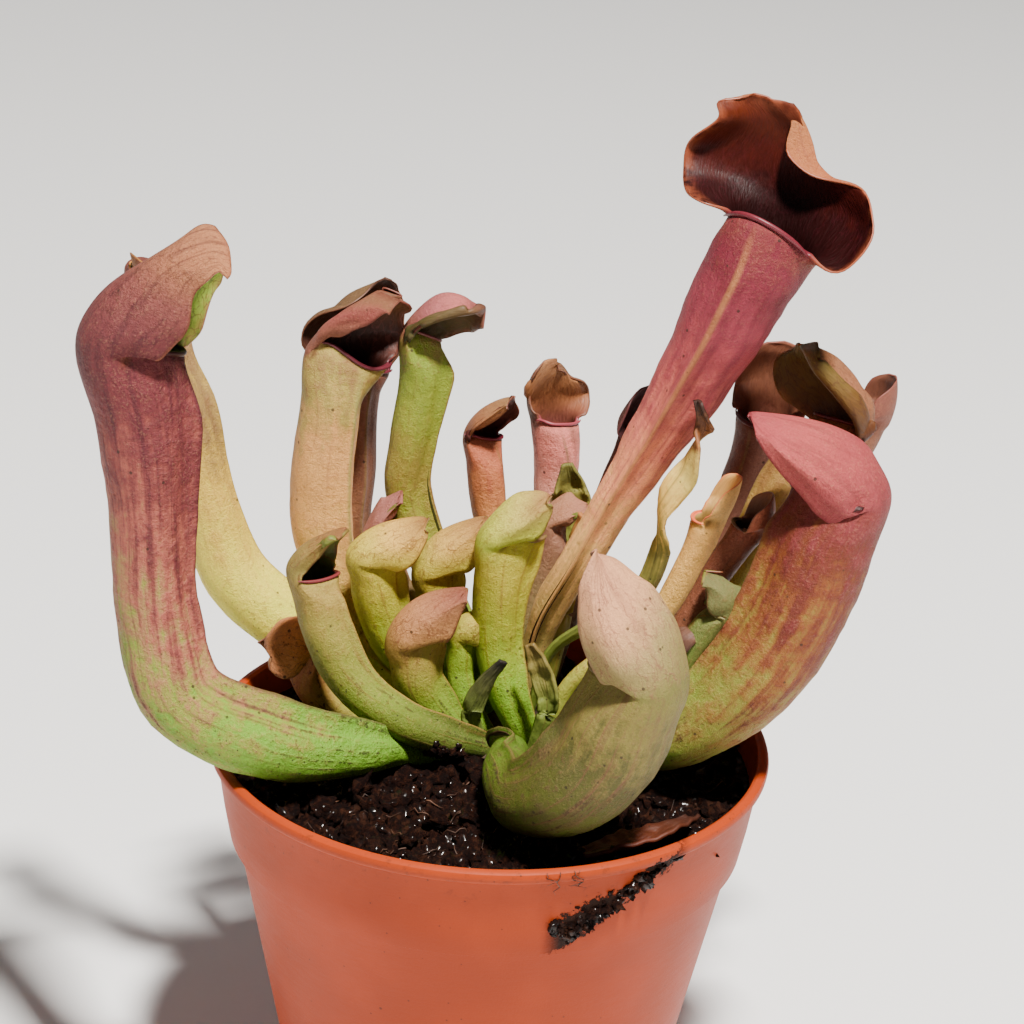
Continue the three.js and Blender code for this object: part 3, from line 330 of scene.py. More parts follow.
        (10.4, 1.2, 1.5, 3.6), (13, -0.6, -0.2, -0.4)], 120: [(0, -0.2, 0.1, 0.3), (2.6, 0.5, 0.7, 1.7),
        (5.2, 0.9, 0.4, 1), (7.8, 1.7, 0.4, 0.9), (10.4, -0.6, 0.4, 1), (13, -0.3, -0.1, -0.2)],
        180: [(0, -0.1, 0.5, 1.2)], -150: [(0, -1.5, -0.1, -0.2)], 0: [(13, -0.1, 0.1, 0.3)],
        -60: [(13, 0.1, 0.2, 0.4)]}),
    "pitcher_middle_back": ((2.2, 42), {
        -120: [(0, 0.5, 0.7, 1.7), (1.8, -2.4, 1, 2.4), (3.7, 1.5, 1.1, 2.6), (5.5, 0.1, 1.5, 3.5),
        (7.3, -0.5, 1.4, 3.4), (9.2, 2.5, 0.6, 1.4), (11, -0.6, 0.1, 0.3)], 120: [(0, -0.4, 0.3, 0.6),
        (1.8, 0.1, 0.8, 2), (3.7, 0.1, 0.5, 1.2), (5.5, -0.5, 1, 2.3), (7.3, -1.2, 1, 2.3), (9.2, -1.9, -0.7, -1.7),
        (11, 1.5, -0.1, -0.1)], 180: [(0, -1.6, 1, 2.4)], 0: [(11, 0.4, 0.2, 0.4)], 60: [(11, 0.2, 0.2, 0.6)],
        -60: [(11, 0.6, 0.2, 0.4)]}),
    "pitcher_back_brown": ((2.8, 42), {
        -120: [(0, 0.6, 0.6, 1.4), (2.4, -2.1, 0.5, 1.1), (4.9, -2.9, 0.4, 0.8), (7.3, 0.1, 1.5, 3.6),
        (9.7, 0.3, 1.1, 2.7), (12.1, 2.4, 0.2, 0.4), (14.6, 3.8, 0.3, 0.6), (17, 0.8, -0.4, -0.8)],
        120: [(0, 0.8, 0.2, 0.6), (2.4, 0.8, 0.4, 0.9), (4.9, -1.4, 0.8, 1.8), (7.3, -2.9, 0.9, 2.1),
        (9.7, -2.4, 0.8, 1.9), (12.1, -1.6, 0.4, 0.9), (14.6, -2.8, 0.2, 0.4), (17, 3, -0.4, -1)],
        0: [(17, 1.9, -0.2, -0.5)], 180: [(0, 0.1, 0.6, 1.5)], 60: [(17, 1.6, -0.2, -0.5)],
        -60: [(17, 2.1, -0.2, -0.5)]}),
    "pitcher_right_back": ((3.6, 45), {
        120: [(0, 5.5, -0.2, -0.5), (3.1, 3.9, 1.3, 3), (6.3, 2.6, 2.1, 5), (9.4, 2.5, 2, 4.8),
        (12.6, 2.3, 1.7, 4.1), (15.7, 2.7, 1.5, 3.5), (18.9, 1.8, 1.7, 4.1), (22, 2.4, -0.4, -1)],
        -120: [(0, 3.1, -0.5, -1.2), (3.1, 0.7, 0.6, 1.4), (6.3, -1.5, 1.1, 2.6), (9.4, -2.1, 0.7, 1.7),
        (12.6, -2.4, 0.8, 1.8), (15.7, -1.4, 0.9, 2), (18.9, -0.4, 1.1, 2.5), (22, 1.2, -0.6, -1.5)],
        0: [(22, 2.2, 0, 0), (17, 2, 0.2, 0.6), (12, 1.6, 0.3, 0.8), (6, 1.4, 0.8, 1.8)],
        180: [(0, -1.7, 0.6, 1.3)], -150: [(0, 1.5, 0.2, 0.5)], 150: [(0, 2.6, -0.1, -0.2)]}),
    "pitcher_green_bud": ((2.1, 50), {
        120: [(0, 1.5, -0.2, -0.6), (2, -0.3, 0.4, 1), (4, -1.1, 0.8, 1.8), (6, 0.2, 0.9, 2.2),
        (8, -3.2, -0.1, -0.2)], 0: [(8, -2.1, 0.1, 0.1), (5, -1.8, 0.6, 1.4), (2.5, -0.5, 0.7, 1.6),
        (0, 1.3, 1.5, 3.5)], 180: [(0, 1, -0.5, -1.1)], 60: [(8, -2.4, 0.2, 0.4)], -60: [(8, -2.9, 0.1, 0.1)]}),
    "pitcher_pink_young": ((2.4, 34), {
        -120: [(0, -2.2, 0.5, 1.1), (2.2, 1.7, 0.8, 2), (4.5, 2.1, 0.5, 1.2), (6.8, 1.1, 1.2, 2.8),
        (9, 0.5, -0.3, -0.6)], 0: [(9, 0.9, 0.1, 0.3), (4.5, 2, 0.8, 2)], 180: [(0, -2.1, 0.4, 1)],
        60: [(9, 0.9, 0.1, 0.2)], -60: [(9, 0.9, 0.2, 0.5)], 120: [(9, 1.2, -0.1, -0.3)]}),
    "pitcher_pink_back": ((2.9, 34), {
        -120: [(0, -2.7, 0.4, 1), (2.8, 0.5, 1.3, 3.1), (5.5, 1.5, 1.1, 2.6), (8.2, -0.1, 1.3, 3.1),
        (11, 1.5, 0, 0.1)], 0: [(11, 1.3, 0.4, 0.9), (5, 1.9, 1.3, 3)], 180: [(0, -2.4, 0.4, 0.9)],
        60: [(11, 1.3, 0.3, 0.8)], -60: [(11, 1.3, 0.5, 1.1)], 120: [(11, 1.5, 0.1, 0.3)]}),
    "pitcher_left_pale": ((5, 50), {
        180: [(0, -0.2, 0.3, 0.8)], -150: [(0, -3.7, 0.9, 2.1)], 150: [(0, -0.2, 1, 2.4)],
        0: [(19, 0.2, -0.9, -2.1), (13, -0.4, 0.7, 1.6)], 60: [(19, 1.3, -0.8, -1.9), (13, 0.5, 1, 2.4)],
        -60: [(19, 1.2, -1.2, -2.7)], 120: [(19, 3, -1.1, -2.6)]}),
}

# Flat leaves: the middle line as x, y, z, half width, the turn of the blade and how far it is rolled up.
LEAVES = {
    "leaf_dead_twisted": dict(
        turn=(10, 160), roll=110,
        spine=[(5.5, 6.5, 68, 1.2), (8.5, 6.5, 81.5, 1.4), (15, 5.5, 88, 1.5), (22.5, 3.5, 94.5, 1.5),
               (25.5, 2, 103.5, 1.6), (26, 0.5, 112, 2.2), (29, -1, 118.5, 2.4), (30.5, -2.5, 124.5, 1.6),
               (29, -3, 130, 0.8)]),
    "leaf_dead_curled": dict(
        turn=(60, 200), roll=110,
        spine=[(20, -8, 75, 1.2), (25, -9, 86, 1.6), (29.5, -9, 93, 1.8), (32, -6.5, 92.5, 1.2)]),
    "leaf_blade_back": dict(
        turn=(80, 100), roll=75,
        spine=[(9.5, 27, 66, 1.2), (11, 29.5, 87.5, 2.2), (11.5, 29, 98.5, 3.3), (10.5, 28.5, 106, 0.8)]),
    "leaf_yellow_tip": dict(
        turn=(70, 90), roll=75,
        spine=[(8.5, 14.2, 68, 1), (11, 15.3, 84, 1.4), (12.4, 15.6, 96, 1.6), (13.2, 14.8, 103, 0.8)]),
    "leaf_black_tip": dict(
        turn=(80, 60), roll=75,
        spine=[(-1, -1.5, 68, 1.2), (-3, -2, 74, 1.6), (-1.5, -2.5, 80, 1.5), (1.5, -2.5, 84.5, 0.8)]),
    "leaf_young_centre": dict(
        turn=(75, 95), roll=75,
        spine=[(7, -2, 68, 1), (9, -2.5, 76.5, 1.6), (7.5, -2, 82.5, 1.8), (5.5, -1.5, 87, 0.8)]),
    "leaf_on_peat": dict(
        turn=(5, 25), roll=75,
        spine=[(15, -31, 66.6, 1.5), (21, -29, 68, 3), (27, -25.5, 68.4, 3.2), (32, -20, 68, 1.5)]),
}

# The rhizome's lumps as x, y, z, radius.
CROWN_LUMPS = [(-7, 5, 62.5, 7), (2.5, 0, 63.5, 6.5), (3, 12, 63.5, 8.5), (12, 12, 63, 7.5),
               (12, 2, 63.5, 6), (5, 22, 63, 7)]

# Colours of each pitcher: its tube from the base to the rim, its hood from the rim to the tip, its lining, its
# veins, the hood's margin, the mouth's lip and the wing. spread is how patchily they run into each other, keel how
# much further up the wing's side is, veins, net, streaks and bloom how strong the lines, the network, the red streaks
# and the pale bloom are, rough how uneven the skin is, and shine how glossy the lining is.
GREEN = dict(
    tube=("7ca42c", "90b036", "a4b440", "b4b448", "c0b854"), hood=("c4bc5c", "d0c670", "d4c07c", "b49458"),
    lining=("4e5c22", "8c9040"), vein="8a4424", veins=0.6, net=0.9, spread=0.12, margin="98583c", lip="8c7040",
    wing="a88848", keel=0.03)
LOOKS = {
    "pitcher_left_arching": dict(
        # The dark maroon at the top of the tube is partly the tube's own colour and partly painted shade under the
        # hood's lobe. The keel of 0.08 carries it further down the mouth's side.
        tube=("84ac34", "88b03a", "8cb440", "94b448", "a4a850", "b49468", "b47060", "9a4c48", "84343a"),
        hood=("803438", "8c4244", "9c5850", "b07c5c", "bc906a"), lining=("5c6a2a", "b0c058"),
        # Painted shade: the near-black lip 380c10 stands for the mouth's front lying in the shade of the lobe.
        vein="4c1420", veins=0.8, net=0.9, spread=0.3, margin="b07858", lip="380c10", wing="64202c", keel=0.08,
        streaks=0.5, bloom=0.15, rough=2.4),
    "pitcher_left_pale": dict(
        tube=("a4b44c", "bcc45c", "cccc6c", "d4ce78", "d0c070", "ac9460"), hood=("8c4c40", "84443c"),
        lining=("7a6c34", "a08c50"), vein="a8804c", veins=0.5, net=0.3, spread=0.16, margin="b88c48",
        lip="a07c44", wing="b8a458", keel=0.05),
    "pitcher_back_tall": dict(
        tube=("9cac4c", "b8b464", "d0bc7c", "d8c08c", "d0b480", "b8ac64"),
        hood=("98644c", "a06450", "a85c54", "906040"), lining=("300c08", "502014", "744a28"),
        vein="a05a50", veins=0.6, net=0.4, spread=0.2, margin="905040", lip="70202c", wing="a8a868", keel=-0.04),
    "pitcher_back_brown": dict(
        tube=("98864a", "a0744a", "98644a", "8c5440"), hood=("705034", "785638", "82623c"),
        lining=("30100f", "502818"), vein="603a2c", veins=0.5, net=0.5, spread=0.14, margin="7c4c34",
        lip="70202c", wing="987c50", keel=0.03),
    "pitcher_back_green": dict(
        tube=("8cb03a", "a0b844", "acb04c", "b0a454", "a8b04c", "98a840"),
        hood=("9c6c4c", "b07070", "bc7c78", "a8645c"), lining=("4a4a1e", "725430"),
        vein="80483a", veins=0.5, net=0.45, spread=0.2, margin="94584c", lip="80403f", wing="a88050", keel=0.04),
    "pitcher_back_small": dict(
        tube=("b4bc54", "c8bc64", "d4b878", "d0a878", "c08060"), hood=("a06444", "b08058", "a88458"),
        lining=("4c1818", "6c3428"), vein="803e30", veins=0.5, net=0.3, spread=0.16, margin="98604a",
        lip="882838", wing="a88050", keel=0.03),
    "pitcher_middle_back": dict(
        tube=("b8ac70", "dcc4a8", "e8c4b8", "d09a90"), hood=("8c644c", "84503c", "90684a"),
        lining=("84443a", "a8744c", "b89064"), vein="6e3630", veins=0.5, net=0.3, spread=0.16, margin="8c5840",
        lip="a8505c", wing="a08060", keel=0.03),
    "pitcher_red_tall": dict(
        tube=("b0a060", "c8b078", "e4c89c", "e0b898", "d09484", "bc6468", "a84858", "8a2838"),
        hood=("98503c", "ac6848", "b87c50", "b88454"), lining=("140202", "200303", "4c0e06", "601c0c"),
        vein="82283c", veins=0.5, net=0.12, spread=0.14, margin="a86040", lip="7c2430", wing="b88c58", keel=-0.03,
        shine=0.16, streaks=0.2, bloom=0.1),
    "pitcher_red_hidden": dict(
        tube=("7c6c3e", "764434", "6a3230"), hood=("6a3230", "602e2c"), lining=("301012", "4a2020"),
        vein="4a1e20", veins=0.4, net=0.4, spread=0.12, margin="743434", lip="5a2022", wing="7a5c3e", keel=0.03),
    "pitcher_right_large": dict(
        tube=("8ca440", "98a846", "a0a44a", "a49a4a", "a4823e", "9c5c30", "883c26", "903a34"),
        hood=("a0464a", "b05658", "bc6866", "b86064"), lining=("301010", "4c1e1a"),
        vein="702428", veins=0.6, net=0.25, spread=0.4, margin="98343e", lip="702c2c", wing="986840", keel=-0.1,
        streaks=0.3, bloom=0.12, rough=1.4),
    "pitcher_right_back": dict(
        tube=("96a84c", "a8a854", "b4ac5a", "b8a05e", "b8905e"), hood=("9c6a48", "a87450", "9c6c48"),
        lining=("542010", "744c20", "867434"), vein="54281a", veins=0.4, net=0.9, spread=0.14, margin="b08050",
        lip="6c2426", wing="a08c50", keel=0.02),
    "pitcher_right_pink": dict(
        tube=("989454", "b08c68", "ac7c68", "9c6858"), hood=("a06c54", "985c48", "8c4c40"),
        lining=("6c3424", "a06c50", "a87458"), vein="6a302c", veins=0.5, net=0.3, spread=0.14, margin="a0604c",
        lip="702626", wing="a08060", keel=0.03),
    "pitcher_far_right": dict(
        tube=("988450", "a07454", "a06c54"), hood=("a46c58", "9c6050"), lining=("6a3c2a", "94604a"),
        vein="6c3630", veins=0.4, net=0.3, spread=0.14, margin="98584c", lip="702c28", wing="987850", keel=0.03),
    "pitcher_orange": dict(
        tube=("a8b454", "bcb860", "d4c080", "e0c894"), hood=("e0cc9c", "dcc490"), lining=("b8a064", "d4bc84"),
        vein="b88c50", veins=0.3, net=0.2, spread=0.12, margin="d89c70", lip="d08860", wing="c8a868", keel=0.03),
    "pitcher_dry": dict(
        tube=("a8784c", "a06848", "985440"), hood=("b06c54", "cc9478"), lining=("5a3424", "9c6c50"),
        vein="582c1c", veins=0.6, net=0.3, spread=0.3, margin="9c6c50", lip="6a4030", wing="745038", keel=0.03),
    "pitcher_green_bud": dict(GREEN, tube=("6e8c34", "7c943c", "848c48"), hood=("80864c", "8a8c54", "848450"),
                              net=0.3, lip="8a8048"),
    "pitcher_front": dict(
        tube=("5a8420", "648824", "6c8626", "666c22", "64602a", "988e48"),
        hood=("8c8844", "b4a474", "d0b494", "ccac90"), lining=("4a301c", "7c6034"),
        vein="905048", veins=0.7, net=0.9, spread=0.24, margin="a88470", lip="7c6440", wing="846c3c", keel=0.03,
        streaks=0.25, bloom=0.08),
    "pitcher_curved": dict(GREEN, tube=("5c7424", "6c7c28", "8c9c38", "a0a048", "b8a860"),
                           hood=("a09450", "a89454", "a07448"), margin="94583c", lip="8c3438", net=1.0),
    "pitcher_red_cap": dict(
        # The pale hood colours and the light lining are partly the cap's own colour and partly painted light. They are
        # lightened to make up for the shade this pitcher stands in.
        tube=("9cb448", "a8a048", "b07c48"), hood=("c89c70", "d0a880", "c4986c"), lining=("8c5838", "a88050"),
        vein="7a3028", veins=0.5, net=0.9, spread=0.16, margin="a87860", lip="703c30", wing="7c5c3a", keel=0.03),
    "pitcher_centre_left": GREEN,
    "pitcher_centre_back": dict(GREEN, hood=("c0b858", "ccc46c", "d0bc78", "b49058")),
    "pitcher_centre_tall": dict(GREEN, hood=("b8be58", "c8c86c", "c8c078", "b49860"), net=0.6),
    "pitcher_low_left": dict(GREEN, tube=("74a030", "88a838", "98ac40", "a4a848", "b09c50"),
                             hood=("b49c58", "c4a070", "c09870", "a06450"), net=1.0, vein="843c28"),
    "pitcher_low_small": dict(GREEN, tube=("80a832", "94b03a", "a8b844"), hood=("bcba58", "c4b864")),
    "pitcher_pink_young": dict(GREEN, tube=("90984c", "a08c5c", "a88068"), hood=("b49070", "b48870"), net=0.5),
    "pitcher_pink_back": dict(GREEN, tube=("90a04c", "a49860", "ac8474"), hood=("b48878", "b07c74"), net=0.5),
}

# Colours of each flat leaf, from its foot to its tip.
LEAF_LOOKS = {
    "leaf_dead_twisted": ("74842c", "7c8832", "888c3a", "908c40", "b0a458", "e0cc90", "e8d4a0", "a87040", "34160e"),
    "leaf_dead_curled": ("4c2c1e", "42241a", "6c4230", "946850"),
    "leaf_blade_back": ("849440", "98a048", "a8a054", "84803c"),
    "leaf_yellow_tip": ("8c983c", "b0a454", "ccb068", "bc8c54"),
    "leaf_black_tip": ("6a8032", "748434", "686a34", "1c1410"),
    "leaf_young_centre": ("768a34", "84903e", "948c46", "8c7438"),
    "leaf_on_peat": ("541a0e", "6a2414", "58200f", "3c160c"),
}


def deselect():
    if bpy.context.object and bpy.context.object.mode != "OBJECT":
        bpy.ops.object.mode_set(mode="OBJECT")
    bpy.ops.object.select_all(action="DESELECT")


def pick(piece):
    """Only this object is selected and active."""
    deselect()
    piece.select_set(True)
    bpy.context.view_layer.objects.active = piece


def edit(piece):
    pick(piece)
    bpy.ops.object.mode_set(mode="EDIT")


def done():
    bpy.ops.object.mode_set(mode="OBJECT")


def choose(test, kind="verts"):
    """In edit mode, selects only the vertices, edges or faces that pass the test."""
    bpy.ops.mesh.select_mode(type={"verts": "VERT", "edges": "EDGE", "faces": "FACE"}[kind])
    bpy.ops.mesh.select_all(action="DESELECT")
    mesh = bmesh.from_edit_mesh(bpy.context.object.data)
    for element in getattr(mesh, kind):
        if test(element):
            element.select_set(True)
    mesh.select_flush_mode()
    bmesh.update_edit_mesh(bpy.context.object.data)


def shade_smooth(piece):
    pick(piece)
    bpy.ops.object.shade_smooth()


def modify(piece, kind, **settings):
    """Adds a modifier and applies it."""
    pick(piece)
    modifier = piece.modifiers.new(kind.title(), kind)
    for name, value in settings.items():
        setattr(modifier, name, value)
    bpy.ops.object.modifier_apply(modifier=modifier.name)


def name_piece(piece, name):
    piece.name = name + "_form"
    piece.data.name = piece.name
    return piece


def add_piece(piece):
    """The piece rides on the plant."""
    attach(piece, "root")


def stand_in(piece, node):
    """The piece rides on the plant and stands for its node."""
    add_piece(piece)
    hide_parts(node)


def finish_with(piece, finish):
    piece.data.materials.clear()
    piece.data.materials.append(finish)


def smooth(value):
    x = min(max(value, 0.0), 1.0)
    return x * x * (3 - 2 * x)


def mix(a, b, share):
    return a + (b - a) * share


class Spine:
    """The middle line of a pitcher or a leaf, with its radius and its directions, in millimetres."""

    def __init__(self, points, face=0):
        self.points = [Vector(p[:3]) for p in points]
        self.radii = [float(p[3]) for p in points]
        self.side = Vector((-math.sin(math.radians(face)), math.cos(math.radians(face)), 0))
        self.length = sum((b - a).length for a, b in zip(self.points, self.points[1:]))

    @staticmethod
    def curve(values, t):
        """The value at t from 0 to 1 of a smooth curve through the values."""
        place = min(max(t, 0.0), 1.0) * (len(values) - 1)
        k = min(int(place), len(values) - 2)
        w = place - k
        here, there = values[k], values[k + 1]
        before = values[k - 1] if k > 0 else 2 * here - there
        after = values[k + 2] if k + 2 < len(values) else 2 * there - here
        leave = (there - before) * 0.5
        arrive = (after - here) * 0.5
        return (here + leave * w + (3 * (there - here) - 2 * leave - arrive) * w ** 2
                + (2 * (here - there) + leave + arrive) * w ** 3)

    def frame(self, t):
        """The middle, the direction along, to the side and to the front, and the radius."""
        step = 0.001
        along = (self.curve(self.points, t + step) - self.curve(self.points, t - step)).normalized()
        side = (self.side - along * self.side.dot(along)).normalized()
        return self.curve(self.points, t), along, side, side.cross(along), max(self.curve(self.radii, t), 0.3)


class Pitcher:
    """The skin of one pitcher: tube points by height and angle, hood points by length and angle."""

    def __init__(self, name, size, face, drop, spine, hood, wing=0):
        self.name = name
        self.grid = GRIDS[size]
        self.spine = Spine(spine, face)
        self.drop = drop
        self.wing = wing
        self.hood = hood
        self.end = self.spine.frame(1)
        self.rim_radius = self.end[4] * (1 + MOUTH_FLARE)
        self.line = self.hood_line()

    def hood_line(self, steps=120):
        """The hood's middle line as distance along, distance over the mouth, and bend."""
        hood = self.hood

        def bend(a):
            return math.radians(hood.get("start", 0) * smooth(a / 0.25) + hood["arch"] * a
                                + hood.get("curl", 0) * a ** 3)

        line = [(0.0, 0.0, 0.0)]
        for k in range(steps):
            middle = bend((k + 0.5) / steps)
            line.append((line[-1][0] + math.cos(middle) * hood["length"] / steps,
                         line[-1][1] + math.sin(middle) * hood["length"] / steps,
                         bend((k + 1) / steps)))
        return line

    def tube_point(self, t, degrees):
        angle = math.radians(degrees)
        to_front = (1 - math.cos(angle)) / 2
        middle, _, side, front, radius = self.spine.frame(t - self.drop / self.spine.length * to_front * t ** 4)
        radius *= 1 + MOUTH_FLARE * smooth((t - 0.9) / 0.1)
        from_front = (180 - abs(degrees)) / 11
        ridge = (self.wing * math.exp(-from_front ** 2) * smooth(t / 0.15) * smooth((1 - t) / 0.1)
                 * (1.25 + 0.35 * math.sin(11 * t + self.spine.length)))
        return middle + front * (ridge - radius * math.cos(angle)) + side * radius * math.sin(angle)

    def hood_width(self, a):
        """Half the hood's width along its arc, and the radius of that arc."""
        hood = self.hood
        spread = math.radians(HOOD_SPREAD)
        cup = math.radians(hood["cup"])
        peak = hood.get("peak", 0.45)
        if a > peak:
            past = min((a - peak) / (1 - peak), hood.get("end", 0.992))
            width = hood["width"] * (1 - past ** hood.get("round", 2.2)) ** hood.get("point", 0.5)
            return width, hood["width"] / cup
        opened = smooth(a / peak)
        width = mix(self.rim_radius * spread, hood["width"], opened)
        return width, width / mix(spread, cup, opened)

    def hood_point(self, a, b):
        """A point of the hood: a runs from the rim to the tip, b from one edge to the other."""
        hood = self.hood
        middle, along, side, front, _ = self.end
        x, y, bend = self.line[round(a * (len(self.line) - 1))]
        width, curve = self.hood_width(a)
        opened = smooth(a / hood.get("peak", 0.45))
        half = Spine.curve(hood["right" if b > 0 else "left"], a) if "left" in hood else 1
        angle = b * width * mix(1, half, opened) / curve
        roll = math.radians(hood.get("roll", 0))
        up = along * math.cos(roll) - side * math.sin(roll)
        across = side * math.cos(roll) + along * math.sin(roll)
        onward = up * math.cos(bend) + front * math.sin(bend)
        inward = front * math.cos(bend) - up * math.sin(bend)
        bump = max(math.sin(math.pi * min(a / 0.8, 1)), 0) ** 1.5
        phase = 2 * math.pi * hood.get("waves", 1.5) * a + (hood.get("twist", 0) if b > 0 else 0)
        wave = hood.get("wave", 0) * b * b * math.sin(phase) * smooth(a / 0.15)
        flip = hood.get("flip", 0) * abs(b) ** 3 * smooth(a / 0.2)
        return (middle + front * (y - self.rim_radius) + up * x
                + across * (hood.get("lean", 0) * a ** 1.5 + curve * math.sin(angle))
                + inward * (curve - curve * math.cos(angle) + wave - flip)
                - onward * (hood.get("lobe", 2) * bump * b * b))

    def pull(self, over, degrees):
        """How far the skin is drawn out of its plain form, at a distance over the rim and an angle."""
        (length, width), moves = PULLS.get(self.name, ((1, 1), {}))
        total = Vector()
        for around, rows in moves.items():
            turn = (degrees - around + 180) % 360 - 180
            for here, *move in rows:
                total += Vector(move) * math.exp(-((over - here) / length) ** 2 - (turn / width) ** 2)
        return total

    def point(self, row, degrees):
        """The skin's point at a row, counted from the base, and an angle from the pitcher's back."""
        tube = self.grid["tube"]
        if row <= tube:
            t = row / tube
            return self.tube_point(t, degrees) + self.pull((t - 1) * self.spine.length, degrees)
        a = (row - tube) / self.grid["rows"]
        b = min(max(degrees / HOOD_SPREAD, -1), 1)
        shift = self.tube_point(1, degrees) - self.hood_point(0, b)
        pull = self.pull(a * self.hood["length"], degrees)
        return self.hood_point(a, b) + shift * (1 - smooth(a / 0.4)) + pull

    def angles(self):
        """The angles of the columns, from the front round the back to the front again."""
        front = [180 - (180 - HOOD_SPREAD) * (k / self.grid["front"]) ** 1.6 for k in range(self.grid["front"])]
        back = [HOOD_SPREAD * (1 - 2 * k / self.grid["hood"]) for k in range(self.grid["hood"] + 1)]
        return front + back + [-angle for angle in reversed(front)]

    def height(self, row):
        """The row as a share: 0 at the base, 0.5 at the rim and 1 at the hood's tip."""
        tube = self.grid["tube"]
        return 0.5 * row / tube if row <= tube else 0.5 + 0.5 * (row - tube) / self.grid["rows"]

    def spread_out(self, row, degrees):
        """The point as if the skin lay flat, in millimetres."""
        tube = self.grid["tube"]
        rim = self.rim_radius * math.radians(HOOD_SPREAD)
        if row <= tube:
            return rim * degrees / HOOD_SPREAD, self.spine.length * row / tube
        a = (row - tube) / self.grid["rows"]
        width = mix(rim, self.hood["width"], smooth(a / self.hood.get("peak", 0.45)))
        return width * degrees / HOOD_SPREAD, self.spine.length + self.hood["length"] * a


def grid_sheet(name, columns, rows):
    """A flat grid, with each vertex's column and row, ready to be laid in its place."""
    deselect()
    bpy.ops.mesh.primitive_grid_add(x_subdivisions=columns, y_subdivisions=rows, size=1)
    sheet = name_piece(bpy.context.object, name)
    cells = [(round((v.co.x + 0.5) * columns), round((v.co.y + 0.5) * rows)) for v in sheet.data.vertices]
    return sheet, cells


def set_points(sheet, points):
    """Moves the sheet's vertices to points in millimetres."""
    flat = np.array([tuple(p) for p in points]).ravel() * MM
    sheet.data.vertices.foreach_set("co", flat)
    sheet.data.update()


def add_uv(sheet, name, cells, place):
    """A UV map that gives each corner the place of its column and row."""
    layer = sheet.data.uv_layers.get(name) or sheet.data.uv_layers.new(name=name)
    for loop in sheet.data.loops:
        layer.data[loop.index].uv = place(*cells[loop.vertex_index])


def drop_grid_uv(sheet):
    """Takes off the map that the grid came with."""
    spare = sheet.data.uv_layers.get("UVMap")
    if spare:
        sheet.data.uv_layers.remove(spare)


def lip_bead(pitcher, angles):
    """The rolled edge of the mouth's front, from one corner of the hood round to the other."""
    front = [a for a in angles if a < -HOOD_SPREAD + 12] + [a for a in angles if a > HOOD_SPREAD - 12]
    front.sort(key=lambda a: (a - 1e-3) % 360)
    points = [pitcher.point(pitcher.grid["tube"], a) for a in front]
    curve = bpy.data.curves.new("lip", "CURVE")
    curve.dimensions = "3D"
    curve.bevel_depth = LIP_BEAD * MM * mix(0.6, 1, smooth((pitcher.rim_radius - 2.5) / 5))
    curve.bevel_resolution = 3
    curve.use_fill_caps = True
    spline = curve.splines.new("POLY")
    spline.points.add(len(points) - 1)
    for k, point in enumerate(points):
        share = k / (len(points) - 1)
        spline.points[k].co = (*(point * MM), 1)
        spline.points[k].radius = mix(0.35, 1, smooth(min(share, 1 - share) / 0.18))
    bead = bpy.data.objects.new("lip", curve)
    bpy.context.collection.objects.link(bead)
    pick(bead)
    bpy.ops.object.convert(target="MESH")
    bead = bpy.context.object
    for layer in list(bead.data.uv_layers):
        bead.data.uv_layers.remove(layer)
    return bead


